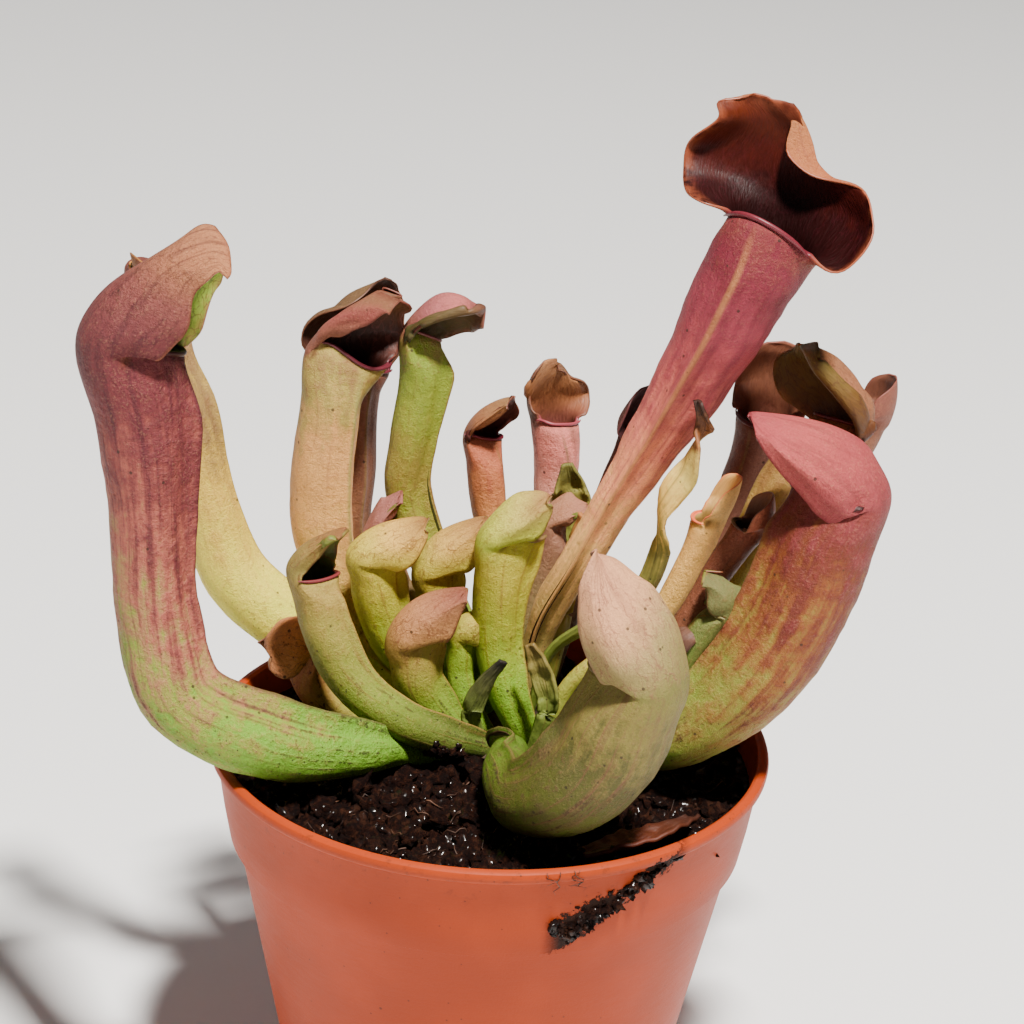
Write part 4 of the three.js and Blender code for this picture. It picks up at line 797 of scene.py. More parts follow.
def pitcher_piece(name):
    """A pitcher as one closed shell: a grid rolled into its tube and hood, its seam merged, then given a wall."""
    pitcher = Pitcher(name, **PITCHERS[name])
    angles = pitcher.angles()
    columns = len(angles) - 1
    tube = pitcher.grid["tube"]
    sheet, cells = grid_sheet(name, columns, tube + pitcher.grid["rows"])
    pits = [pitcher.point(tube + 2, side * PIT_ANGLE) for side in (-1, 1)]
    end = pitcher.end[0]
    points = []
    for column, row in cells:
        point = pitcher.point(row, angles[column])
        middle = pitcher.spine.curve(pitcher.spine.points, row / tube) if row < tube else end
        pit_size = PIT_SIZE * mix(0.5, 1, pitcher.rim_radius / 8)
        dent = sum(math.exp(-((point - pit).length / pit_size) ** 2) for pit in pits)
        depth = PIT_DEPTH * dent * pitcher.rim_radius / 8
        if row < tube:
            ripple = 0.3 * noise.noise(point * 0.12 + Vector((3, 5, 7))) + 0.12 * noise.noise(point * 0.4)
            depth += ripple * smooth(row / 8) * smooth((tube - row) / 8) * pitcher.rim_radius / 6
        points.append(point + (middle - point).normalized() * depth)
    set_points(sheet, points)
    add_uv(sheet, "skin", cells, lambda c, r: (0.5 - angles[c] / 360, pitcher.height(r)))
    add_uv(sheet, "flat", cells, lambda c, r: [0.01 * v for v in pitcher.spread_out(r, angles[c])])
    drop_grid_uv(sheet)
    sheet.data.uv_layers["skin"].active = True
    group = sheet.vertex_groups.new(name="wall")
    for vertex, (column, row) in enumerate(cells):
        b, a = abs(angles[column]) / HOOD_SPREAD, (row - tube) / pitcher.grid["rows"]
        edge = smooth(a / 0.15) * max(smooth((b - 0.75) / 0.25), smooth((a - 0.8) / 0.2))
        group.add([vertex], 1 - 0.6 * edge, "REPLACE")
    fold = sheet.vertex_groups.new(name="fold")
    for vertex, (column, row) in enumerate(cells):
        over = pitcher.spread_out(row, 0)[1] - pitcher.spine.length
        turn = abs(angles[column])
        near = math.exp(-(over / (0.7 * pitcher.rim_radius)) ** 2)
        near *= smooth((turn - 25) / 30) * smooth((118 - turn) / 18)
        fold.add([vertex], near, "REPLACE")
    over = [row > tube and abs(angles[column]) > HOOD_SPREAD + 0.01 for column, row in cells]
    edit(sheet)
    choose(lambda v: over[v.index])
    bpy.ops.mesh.delete(type="VERT")
    choose(lambda v: True)
    bpy.ops.mesh.remove_doubles(threshold=1e-6)
    foot = Vector(pitcher.spine.points[0]) * MM
    choose(lambda e: e.is_boundary and (e.verts[0].co - foot).length < 1.3 * pitcher.spine.radii[0] * MM, "edges")
    bpy.ops.mesh.edge_face_add()
    done()
    modify(sheet, "SMOOTH", factor=0.5, iterations=FOLD_SMOOTHING, vertex_group="fold")
    look = LOOKS[name]
    finishes = (pitcher_skin(name, look, pitcher), pitcher_lining(name, look), pitcher_rim(name, look))
    for finish in finishes:
        sheet.data.materials.append(finish)
    modify(sheet, "SOLIDIFY", thickness=PITCHER_WALL * MM * mix(0.7, 1, smooth((pitcher.rim_radius - 2.5) / 4)),
           offset=-1, use_rim=True, use_quality_normals=True, material_offset=1, material_offset_rim=2,
           vertex_group="wall")
    bead = lip_bead(pitcher, angles)
    bead.data.materials.append(finishes[2])
    pick(sheet)
    bead.select_set(True)
    bpy.ops.object.join()
    bpy.ops.object.shade_smooth()
    stand_in(sheet, name)


def leaf_piece(name):
    """A flat leaf: a grid laid along its middle line, rolled across and given a wall."""
    leaf = LEAVES[name]
    spine = Spine(leaf["spine"])
    columns, rows = LEAF_CELLS
    sheet, cells = grid_sheet(name, columns, rows)
    half = math.radians(leaf["roll"]) / 2
    points = []
    for column, row in cells:
        t = row / rows
        middle, along, _, _, radius = spine.frame(t)
        turn = math.radians(mix(*leaf["turn"], t))
        level = Vector((0, 0, 1)) if abs(along.z) < 0.99 else Vector((1, 0, 0))
        first = along.cross(level).normalized()
        across = first * math.cos(turn) + first.cross(along) * math.sin(turn)
        normal = across.cross(along)
        u = 2 * column / columns - 1
        wrinkle = 0.25 * noise.noise(Vector((u * 1.2, t * 9, len(name))))
        point = (middle + across * radius * math.sin(u * half) / math.sin(half)
                 - normal * radius * ((math.cos(u * half) - math.cos(half)) / math.sin(half) + wrinkle))
        points.append(point)
    set_points(sheet, points)
    add_uv(sheet, "skin", cells, lambda c, r: (c / columns, r / rows))
    drop_grid_uv(sheet)
    modify(sheet, "SOLIDIFY", thickness=LEAF_WALL * MM, offset=0, use_rim=True)
    shade_smooth(sheet)
    finish_with(sheet, leaf_finish(name))
    stand_in(sheet, name)


def body_radius(z):
    """The outer radius of the pot below its band."""
    return mix(FOOT_RADIUS, BODY_TOP_RADIUS, z / BAND_FOOT)


def turned(name, profile, sides):
    """A round piece: a circle extruded ring by ring along the profile, and closed at both ends."""
    deselect()
    radius, height = profile[0]
    bpy.ops.mesh.primitive_circle_add(vertices=sides, radius=radius * MM, location=(0, 0, height * MM))
    piece = name_piece(bpy.context.object, name)
    bpy.ops.object.transform_apply(location=True, rotation=True, scale=True)
    bpy.ops.object.mode_set(mode="EDIT")
    bpy.ops.mesh.select_all(action="SELECT")
    bpy.ops.mesh.edge_face_add()
    bpy.ops.mesh.select_mode(type="EDGE")
    for next_radius, next_height in profile[1:]:
        choose(lambda e: all(abs(v.co.z - height * MM) < 1e-6 and abs(v.co.xy.length - radius * MM) < 1e-6
                             for v in e.verts), "edges")
        bpy.ops.mesh.extrude_edges_move(
            TRANSFORM_OT_translate={"value": (0, 0, (next_height - height) * MM)})
        scale = next_radius / radius
        bpy.ops.transform.resize(value=(scale, scale, 1), center_override=(0, 0, next_height * MM))
        radius, height = next_radius, next_height
    bpy.ops.mesh.edge_face_add()
    bpy.ops.mesh.select_all(action="SELECT")
    bpy.ops.mesh.normals_make_consistent(inside=False)
    done()
    return piece


def pot_piece():
    """The nursery pot: foot ring, tapered body, band, rounded lip, thin wall and drain holes."""
    (band_z, band_foot), (band_top_z, band_top) = BAND
    profile = [
        (14, 0), (15, 2.4), (25.2, 2.4), (26.2, 0), (FOOT_RADIUS, 0),
        (body_radius(14), 14), (body_radius(30), 30), (body_radius(53), 53), (band_foot, band_z), (42.5, 59),
        (band_top, band_top_z), (44.5, 67.9), (44.9, 68.4), (LIP_RADIUS, 69), (44.8, 69.6), (44.3, 69.9),
        (43.7, POT_HEIGHT), (43.2, 69.7), (42.95, 69), (42.8, 67.6), (41.4, 59), (40.4, 53.6),
        (body_radius(53) - POT_WALL, 52), (28.4, 3.6), (14.4, 3.6), (13.4, 1.2),
    ]
    pot = turned("pot", profile, POT_SIDES)
    deselect()
    bpy.ops.mesh.primitive_cylinder_add(vertices=32, radius=DRAIN_HOLE_RADIUS * MM, depth=10 * MM,
                                        location=(DRAIN_HOLE_CIRCLE * MM, 0, 3 * MM))
    drill = bpy.context.object
    bpy.ops.object.transform_apply(location=True, rotation=True, scale=True)
    edit(drill)
    for _ in range(DRAIN_HOLES - 1):
        bpy.ops.mesh.duplicate()
        bpy.ops.transform.rotate(value=2 * math.pi / DRAIN_HOLES, orient_axis="Z", center_override=(0, 0, 0))
    done()
    modify(pot, "BOOLEAN", operation="DIFFERENCE", object=drill, solver="EXACT")
    bpy.data.objects.remove(drill)
    modify(pot, "BEVEL", width=0.25 * MM, segments=2, limit_method="ANGLE", angle_limit=math.radians(40))
    pick(pot)
    bpy.ops.object.shade_smooth_by_angle(angle=math.radians(35))
    finish_with(pot, pot_finish())
    stand_in(pot, "pot")


def peat_height(x, y):
    """The uneven top of the peat: a low mound with clods."""
    r = math.hypot(x, y) / 42
    clods = math.sin(x * 0.9 + 1.3) * math.cos(y * 0.8 - 0.7) + 0.6 * math.sin(x * 0.37 - y * 0.55 + 2)
    return mix(PEAT_CROWN, PEAT_EDGE, smooth(r)) + 0.45 * clods * smooth((1 - r) * 6)


def peat_top(x, y):
    """The peat's top with its crumbs and hollows."""
    place = Vector((x, y, 0))
    lumps = noise.fractal(place * 0.36, 0.7, 2.1, 5) * 1.3
    cells = noise.voronoi(place * 0.5)[0]
    crumb = noise.turbulence(place * 1.3 + Vector((9, 0, 0)), 3, True) - 0.5
    edge = smooth((1 - math.hypot(x, y) / PEAT_RADIUS) * 9)
    return peat_height(x, y) - 0.4 + edge * (lumps + 1.8 * (0.45 - cells[0]) + 0.7 * crumb)


def peat_piece():
    """The peat that fills the pot: a disc of clods, with its edge extruded down to the pot's floor."""
    peat, cells = grid_sheet("peat", PEAT_CELLS, PEAT_CELLS)
    points = []
    for column, row in cells:
        u, v = 2 * column / PEAT_CELLS - 1, 2 * row / PEAT_CELLS - 1
        x = PEAT_RADIUS * u * math.sqrt(1 - v * v / 2)
        y = PEAT_RADIUS * v * math.sqrt(1 - u * u / 2)
        points.append((x, y, peat_top(x, y)))
    set_points(peat, points)
    edit(peat)
    choose(lambda e: e.is_boundary, "edges")
    for radius, height in ((40.0, 53.6), (body_radius(53) - POT_WALL - 0.4, 52), (28, 4), (13.5, 4)):
        bpy.ops.mesh.extrude_edges_move(TRANSFORM_OT_translate={"value": (0, 0, 0)})
        mesh = bmesh.from_edit_mesh(peat.data)
        for v in mesh.verts:
            if v.select:
                around = v.co.xy.normalized() * radius * MM
                v.co = (*around, height * MM)
        bmesh.update_edit_mesh(peat.data)
    bpy.ops.mesh.edge_face_add()
    bpy.ops.mesh.select_all(action="SELECT")
    bpy.ops.mesh.normals_make_consistent(inside=False)
    done()
    shade_smooth(peat)
    finish_with(peat, peat_finish())
    stand_in(peat, "peat")


def crown_piece():
    """The rhizome: lumps remeshed into one body with a knobbly skin."""
    lumps = []
    for x, y, z, r in CROWN_LUMPS:
        deselect()
        bpy.ops.mesh.primitive_uv_sphere_add(segments=32, ring_count=20, radius=r * MM,
                                             location=(x * MM, y * MM, z * MM), scale=(1, 1, 0.9))
        bpy.ops.object.transform_apply(location=True, rotation=True, scale=True)
        lumps.append(bpy.context.object)
    pick(lumps[0])
    for lump in lumps:
        lump.select_set(True)
    bpy.ops.object.join()
    crown = name_piece(bpy.context.object, "crown")
    modify(crown, "REMESH", mode="VOXEL", voxel_size=0.6 * MM)
    for v in crown.data.vertices:
        place = v.co / MM
        v.co -= v.normal * MM * (0.25 + 0.35 * noise.turbulence(place * 0.35, 3, False))
    modify(crown, "SMOOTH", factor=0.4, iterations=2)
    shade_smooth(crown)
    finish_with(crown, crown_finish())
    stand_in(crown, "crown")


def mesh_piece(name, verts, faces):
    """A smooth piece from its vertices and faces, for shapes of hundreds of strewn bits."""
    mesh = bpy.data.meshes.new(name)
    mesh.from_pydata(verts, [], faces)
    piece = bpy.data.objects.new(name, mesh)
    bpy.context.collection.objects.link(piece)
    shade_smooth(piece)
    return piece


def scatter(name, shape, places):
    """One mesh of many copies of a shape, each at its own place, turn and size."""
    base = np.array([tuple(v.co) for v in shape.vertices])
    faces = np.array([tuple(p.vertices) for p in shape.polygons])
    points = [base @ np.array(place.to_3x3()).T + np.array(place.translation) for place in places]
    ring = [faces + k * len(base) for k in range(len(places))]
    return mesh_piece(name, np.vstack(points).tolist(), np.vstack(ring).tolist())


def crumb_shape(seed):
    """A rough crumb of peat, 1 m across, to be scattered at its real size."""
    deselect()
    bpy.ops.mesh.primitive_cube_add(size=0.9)
    crumb = bpy.context.object
    edit(crumb)
    bpy.ops.mesh.subdivide(number_cuts=2, smoothness=1)
    done()
    for v in crumb.data.vertices:
        v.co *= 1 + 0.9 * noise.noise(v.co * 2.6 + Vector((seed, 0, 0)))
    shape = crumb.data
    bpy.data.objects.remove(crumb)
    return shape


def turn_about(rng):
    return Matrix.Rotation(rng.uniform(0, math.tau), 4, Vector([rng.gauss(0, 1) for _ in range(3)]).normalized())


def crumb_pieces():
    """Loose crumbs on the peat, on the smear down the pot and in a clump on the curved pitcher."""
    rng = random.Random(CRUMB_SEED)
    (band_z, band_foot), (band_top_z, band_top) = BAND
    places = []
    for _ in range(CRUMBS):
        r = CRUMB_SPREAD * math.sqrt(rng.random())
        turn = rng.uniform(0, math.tau)
        x, y = r * math.cos(turn), r * math.sin(turn)
        size = 0.4 + 2.4 * rng.random() ** 3.4
        scale = Matrix.Diagonal((size * rng.uniform(0.7, 1.5) * MM, size * MM, size * rng.uniform(0.5, 0.9) * MM, 1))
        place = Matrix.Translation(Vector((x, y, peat_top(x, y) + 0.15 * size)) * MM)
        places.append(place @ turn_about(rng) @ scale)
    for _ in range(SMEAR_CRUMBS):
        share = rng.random() ** 1.6
        x = mix(SMEAR[0][0], SMEAR[1][0], share) + rng.gauss(0, 0.8)
        z = min(mix(SMEAR[0][1], SMEAR[1][1], share) + rng.gauss(0, mix(1.2, 0.5, share)), 67.5)
        size = 0.35 + 1.1 * rng.random() ** 3
        scale = Matrix.Diagonal((size * 1.3 * MM, size * 0.7 * MM, size * MM, 1))
        radius = mix(band_foot, band_top, (z - band_z) / (band_top_z - band_z)) + 0.1 * size
        place = Matrix.Translation(Vector((x, -math.sqrt(radius ** 2 - x ** 2), z)) * MM)
        places.append(place @ turn_about(rng) @ scale)
    curved = Pitcher("pitcher_curved", **PITCHERS["pitcher_curved"])
    for _ in range(CLUMP_CRUMBS):
        size = 0.3 + 0.8 * rng.random() ** 2
        skin = curved.point(curved.grid["tube"] * rng.gauss(0.2, 0.028), rng.gauss(-66, 18))
        places.append(Matrix.Translation(skin * MM) @ turn_about(rng) @ Matrix.Scale(size * MM, 4))
    crumbs = scatter("peat_crumbs", crumb_shape(2), places)
    finish_with(crumbs, peat_finish())
    add_piece(crumbs)


def strand(points, radius, sides=4):
    """Vertices and faces of a thin closed strand along points in millimetres, pointed at both ends."""
    verts, faces = [], []
    for k, point in enumerate(points):
        along = (points[min(k + 1, len(points) - 1)] - points[max(k - 1, 0)]).normalized()
        side = along.orthogonal().normalized()
        other = along.cross(side)
        share = k / (len(points) - 1)
        thick = radius * max(math.sin(math.pi * share) ** 0.5, 0.25)
        for j in range(sides):
            turn = math.tau * j / sides
            verts.append((point + (side * math.cos(turn) + other * math.sin(turn)) * thick) * MM)
    for k in range(len(points) - 1):
        for j in range(sides):
            a, b = k * sides + j, k * sides + (j + 1) % sides
            faces.append((a, b, b + sides, a + sides))
    faces.append(tuple(reversed(range(sides))))
    faces.append(tuple(len(verts) - sides + j for j in range(sides)))
    return verts, faces


def strand_piece(name, strands):
    """One mesh of many strands."""
    verts, faces = [], []
    for points, radius in strands:
        more, rings = strand(points, radius)
        faces += [tuple(i + len(verts) for i in ring) for ring in rings]
        verts += more
    return mesh_piece(name, [tuple(v) for v in verts], faces)


def fibre_pieces():
    """Fine fibres lying on the peat, and rootlets that hang over the lip."""
    rng = random.Random(FIBRE_SEED)
    strands = []
    for _ in range(FIBRES):
        r = FIBRE_SPREAD * math.sqrt(rng.random())
        turn = rng.uniform(0, math.tau)
        x, y = r * math.cos(turn), r * math.sin(turn)
        heading = rng.uniform(0, math.tau)
        points = []
        for _ in range(FIBRE_STEPS):
            heading += rng.gauss(0, 0.45)
            x += FIBRE_STEP * math.cos(heading)
            y += FIBRE_STEP * math.sin(heading)
            if math.hypot(x, y) > FIBRE_LIMIT:
                break
            points.append(Vector((x, y, peat_top(x, y) + 0.25 + 0.35 * rng.random())))
        if len(points) > 3:
            strands.append((points, rng.uniform(0.06, 0.16)))
    for x, length in ROOTLETS:
        points = []
        for k in range(FIBRE_STEPS):
            z = POT_HEIGHT - 0.3 - length * max(k - 2, 0) / 6
            radius = LIP_RADIUS + 0.15 - (1.1 if z < 67.4 else 0) - 0.9 * max(2 - k, 0)
            sway = x + 0.5 * noise.noise(Vector((x, k * 0.5, 3))) * k
            points.append(Vector((sway, -math.sqrt(radius ** 2 - sway ** 2), z)))
        strands.append((points, ROOTLET_RADIUS))
    piece = strand_piece("peat_fibres", strands)
    finish_with(piece, fibre_finish())
    add_piece(piece)


def rgb(code):
    """A colour from its six-digit code, set so that the lit surface shows the code through the film curve."""
    parts = [int(code[k:k + 2], 16) / 255 for k in (0, 2, 4)]
    light = [0.22 * c ** 1.1 / (1.02 - c) ** 1.14 / KEY_SHARE for c in parts]
    middle = sum(light) / 3
    return (*[min(max(middle + 1.12 * (c - middle), 0.001), 0.92) for c in light], 1)


class Value:
    """A socket of a finish that Python's operators work on."""

    def __init__(self, finish, socket):
        self.finish = finish
        self.socket = socket

    def math(self, operation, *others):
        inputs = {k: value for k, value in enumerate((self, *others))}
        return self.finish.node("ShaderNodeMath", {"operation": operation}, inputs)

    def reflected(self, operation, other):
        return self.finish.node("ShaderNodeMath", {"operation": operation}, {0: other, 1: self})

    def __add__(self, other):
        return self.math("ADD", other)

    def __radd__(self, other):
        return self.reflected("ADD", other)

    def __sub__(self, other):
        return self.math("SUBTRACT", other)

    def __rsub__(self, other):
        return self.reflected("SUBTRACT", other)

    def __mul__(self, other):
        return self.math("MULTIPLY", other)

    def __rmul__(self, other):
        return self.reflected("MULTIPLY", other)

    def __truediv__(self, other):
        return self.math("DIVIDE", other)

    def __pow__(self, other):
        return self.math("POWER", other)

    def __abs__(self):
        return self.math("ABSOLUTE")

    def larger(self, other):
        return self.math("MAXIMUM", other)

    def rise(self, low, high):
        """0 below low, 1 above high, and smooth between."""
        return self.finish.node("ShaderNodeMapRange", {"interpolation_type": "SMOOTHSTEP"},
                                {"Value": self, "From Min": low, "From Max": high})

    def part(self, axis):
        return self.finish.node("ShaderNodeSeparateXYZ", {}, {0: self}, "XYZ".index(axis))


class Finish:
    """A material made of nodes, with one principled shader."""

    SOCKETS = {"base_color": "Base Color", "roughness": "Roughness", "normal": "Normal",
               "specular": "Specular IOR Level", "coat": "Coat Weight", "coat_roughness": "Coat Roughness"}

    def __init__(self, name, **constants):
        self.material = bpy.data.materials.new(name)
        self.material.use_nodes = True
        self.tree = self.material.node_tree
        self.shader = self.tree.nodes["Principled BSDF"]
        for socket, value in constants.items():
            self.shader.inputs[self.SOCKETS[socket]].default_value = value

    def node(self, kind, settings=None, inputs=None, output=0):
        """A node of this kind: its settings first, then the values or links of its sockets."""
        node = self.tree.nodes.new(kind)
        for name, setting in (settings or {}).items():
            if name == "stops":
                ramp = node.color_ramp
                while len(ramp.elements) < len(setting):
                    ramp.elements.new(0.5)
                for element, (place, code) in zip(ramp.elements, setting):
                    element.position = place
                    element.color = rgb(code)
            else:
                setattr(node, name, setting)
        for name, value in (inputs or {}).items():
            if isinstance(value, Value):
                self.tree.links.new(value.socket, node.inputs[name])
            else:
                node.inputs[name].default_value = value
        return Value(self, node.outputs[output])

    def place(self):
        """Where a point lies on the object, in millimetres."""
        where = self.node("ShaderNodeTexCoord", {}, {}, "Object")
        return self.node("ShaderNodeVectorMath", {"operation": "SCALE"}, {0: where, "Scale": 1000})

    def uv(self, name):
        return self.node("ShaderNodeUVMap", {"uv_map": name})

    def vector(self, x=0, y=0, z=0):
        return self.node("ShaderNodeCombineXYZ", {}, {"X": x, "Y": y, "Z": z})

    def noise(self, place, scale, detail=3, roughness=0.55, distortion=0):
        return self.node("ShaderNodeTexNoise", {}, {"Vector": place, "Scale": scale, "Detail": detail,
                                                    "Roughness": roughness, "Distortion": distortion})

    def cells(self, place, scale, feature="F1", output="Distance", dimensions="3D"):
        return self.node("ShaderNodeTexVoronoi", {"feature": feature, "voronoi_dimensions": dimensions},
                         {"Vector": place, "Scale": scale}, output)

    def ramp(self, value, stops):
        return self.node("ShaderNodeValToRGB", {"stops": stops}, {"Fac": value})

    def mix(self, share, first, second):
        """The first colour where share is 0 and the second where it is 1."""
        first, second = [rgb(c) if isinstance(c, str) else c for c in (first, second)]
        return self.node("ShaderNodeMix", {"data_type": "RGBA"}, {0: share, 6: first, 7: second}, 2)

    def shade(self, colour, value):
        """The colour made darker or lighter."""
        return self.node("ShaderNodeHueSaturation", {}, {"Value": value, "Color": colour})

    def bump(self, height, depth, strength=1.0):
        return self.node("ShaderNodeBump", {}, {"Strength": strength, "Distance": depth * MM, "Height": height})

    def wear(self, **values):
        """Links values to the shader's sockets."""
        for name, value in values.items():
            self.tree.links.new(value.socket, self.shader.inputs[self.SOCKETS[name]])
        return self.material


def even(codes, low, high):
    """Colours placed evenly from low to high."""
    step = (high - low) / max(len(codes) - 1, 1)
    return [(low + step * k, code) for k, code in enumerate(codes)]


def specks(finish, place, scale, size):
    """Scattered dark specks of dirt."""
    near = finish.cells(place, scale)
    chance = finish.cells(place, scale, output="Color").part("X")
    return (1 - near.rise(size * 0.6, size)) * chance.rise(0.62, 0.66)


def net_lines(finish, flat, place):
    """A network of fine veins, longer along the pitcher than across it."""
    warp = finish.noise(place, 0.5, 3)
    other = finish.noise(place, 0.37, 3)
    x = flat.part("X") * 72 + warp * 2.4
    y = flat.part("Y") * 17 + other * 1.6
    edge = finish.cells(finish.vector(x, y), 1.0, "DISTANCE_TO_EDGE", dimensions="2D")
    return 1 - edge.rise(0.0, 0.1)


def long_lines(finish, flat, spacing):
    """Veins that run up the tube."""
    slow = finish.noise(finish.vector(flat.part("X") * 12, flat.part("Y") * 4), 1.0, 2)
    across = flat.part("X") * (100 / spacing) + slow * 1.3
    return 1 - across.math("PINGPONG", 0.5).rise(0.0, 0.11)


def pitcher_skin(name, look, pitcher):
    """The outside of a pitcher: colour that changes up its length, veins, mottling, specks and dirt, and painted shade
    in the dimples at the hood's corners.
    """
    finish = Finish(name.replace("pitcher", "skin"), specular=0.22)
    place = finish.place()
    skin, flat = finish.uv("skin"), finish.uv("flat")
    height = skin.part("Y")
    front = abs(skin.part("X") * 2 - 1)
    blotch = finish.noise(place, 0.3, 5, 0.65)
    mottle = finish.noise(place, 0.95, 5, 0.7)
    streak = finish.noise(finish.vector(flat.part("X") * 60, flat.part("Y") * 6), 1.0, 3)
    grain = finish.noise(place, 3.2, 4, 0.75)
    on_hood = height.rise(0.46, 0.54)
    patchy = ((blotch - 0.5) + (streak - 0.5) * 0.8 + (mottle - 0.5) * 0.4) * look["spread"] * (1 - on_hood * 0.7)
    shift = (front - 0.4) * look["keel"] * (1 - height.rise(0.4, 0.5))
    colour = finish.ramp(height + patchy + shift, even(look["tube"], 0.02, 0.47) + even(look["hood"], 0.55, 0.97))
    lines = long_lines(finish, flat, 3.4) * (1 - on_hood * 0.8) * streak.rise(0.35, 0.6) * look["veins"]
    net = net_lines(finish, flat, place) * height.rise(0.38, 0.6) * blotch.rise(0.32, 0.6) * look["net"]
    veins = lines.larger(net)
    colour = finish.mix(veins * 0.6, colour, look["vein"])
    colour = finish.mix(mottle.rise(0.52, 0.68) * 0.3, colour, look["vein"])
    red = streak.rise(0.5, 0.66) * height.rise(0.1, 0.4) * look.get("streaks", 0.05)
    colour = finish.mix(red, colour, look["vein"])
    edge = (front * 1.5).larger(height * 2 - 1).rise(0.955, 1.0) * height.rise(0.5, 0.52)
    colour = finish.mix(edge * 0.6, colour, look["margin"])
    wing = front.rise(0.965, 0.993) * (1 - height.rise(0.47, 0.5))
    colour = finish.mix(wing * 0.7, colour, look["wing"])
    bloom = finish.noise(place, 2.4, 5, 0.8).rise(0.5, 0.66) * blotch.rise(0.35, 0.6) * look.get("bloom", 0.12)
    colour = finish.mix(bloom, colour, "d8c4a8")
    # Painted shade: the dimple at each corner of the hood, where the lobe meets the tube, is darkened towards 6c3018.
    rim = pitcher.rim_radius * math.radians(HOOD_SPREAD)
    side = (front * 1.5 - PIT_ANGLE / HOOD_SPREAD) * rim
    over = flat.part("Y") * 100 - pitcher.spine.length - 0.5
    pit = 1 - (side * side + over * over).math("SQRT").rise(0.0, 0.24 * pitcher.rim_radius + 0.3)
    colour = finish.mix(pit * 0.7, colour, "6c3018")
    colour = finish.shade(colour, grain * 0.9 + mottle * 0.4 + 0.36)
    low = 1 - place.part("Z").rise(72, 98)
    dirt = (mottle.rise(0.58, 0.7) * 0.8).larger(streak.rise(0.56, 0.64) * mottle.rise(0.46, 0.56) * 0.9) * low
    dots = specks(finish, place, 0.4, 0.13).larger(specks(finish, place, 1.1, 0.17) * (low + 0.35))
    colour = finish.mix(dots.larger(dirt) * 0.8, colour, "33241a")
    bumps = grain * 0.6 + veins * 0.15 + (mottle * 0.8 + blotch) * look.get("rough", 1) + streak * 0.5
    return finish.wear(base_color=colour, roughness=0.42 + grain * 0.25 + dirt * 0.3,
                       normal=finish.bump(bumps, 0.6, 0.7))


def pitcher_lining(name, look):
    """The inside of a pitcher, with veins and a lighter edge on the hood that is partly the margin's colour and partly
    a painted glow of light through the thin edge.
    """
    finish = Finish(name.replace("pitcher", "lining"), specular=look.get("shine", 0.3))
    place = finish.place()
    skin, flat = finish.uv("skin"), finish.uv("flat")
    height = skin.part("Y")
    front = abs(skin.part("X") * 2 - 1)
    blotch = finish.noise(place, 0.4, 4, 0.6)
    hairs = finish.noise(finish.vector(flat.part("X") * 260, flat.part("Y") * 60), 1.0, 2)
    colour = finish.ramp(height + (blotch - 0.5) * 0.2, even(look["lining"], 0.48, 0.95))
    net = net_lines(finish, flat, place) * look["net"] * height.rise(0.5, 0.6)
    colour = finish.mix(net * 0.6, colour, look["vein"])
    # The lighter edge is partly the margin's own colour and partly a painted glow of light shining through the thin
    # hood edge.
    edge = (front * 1.5).larger(height * 2 - 1).rise(0.86, 1.0) * height.rise(0.5, 0.6)
    colour = finish.mix(edge * blotch.rise(0.35, 0.6) * 0.6, colour, look["margin"])
    colour = finish.shade(colour, hairs * 0.6 + 0.7)
    return finish.wear(base_color=colour, roughness=0.3 + hairs * 0.5,
                       normal=finish.bump(hairs + blotch * 0.5, 0.22, 0.6))


def pitcher_rim(name, look):
    """The lip of the mouth and the margin of the hood."""
    finish = Finish(name.replace("pitcher", "rim"), specular=0.4)
    place = finish.place()
    blotch = finish.noise(place, 0.7, 4)
    on_hood = finish.uv("skin").part("Y").rise(0.5, 0.55)
    colour = finish.mix(on_hood, look["lip"], look["margin"])
    colour = finish.shade(colour, finish.noise(place, 3, 3) * 0.5 + 0.75)
    return finish.wear(base_color=colour, roughness=0.3 + blotch * 0.25, normal=finish.bump(blotch, 0.15, 0.5))


def leaf_finish(name):
    """A leaf's blade: colour along it, lengthwise veins and spots."""
    finish = Finish(name.replace("leaf", "blade"), specular=0.35)
    place = finish.place()
    skin = finish.uv("skin")
    along = skin.part("Y")
    streak = finish.noise(finish.vector(skin.part("X") * 9, along * 3), 1.0, 3)
    blotch = finish.noise(place, 0.8, 5, 0.7)
    colour = finish.ramp(along + (blotch - 0.5) * 0.25 + (streak - 0.5) * 0.2, even(LEAF_LOOKS[name], 0.03, 0.97))
    middle = 1 - abs(skin.part("X") - 0.5).rise(0.0, 0.06)
    colour = finish.mix(middle * 0.35, colour, LEAF_LOOKS[name][-1])
    colour = finish.mix(specks(finish, place, 0.9, 0.16) * 0.8, colour, "2a1a12")
    colour = finish.shade(colour, streak * 0.7 + 0.65)
    return finish.wear(base_color=colour, roughness=0.42 + blotch * 0.3,
                       normal=finish.bump(streak + blotch * 0.7, 0.4, 0.7))


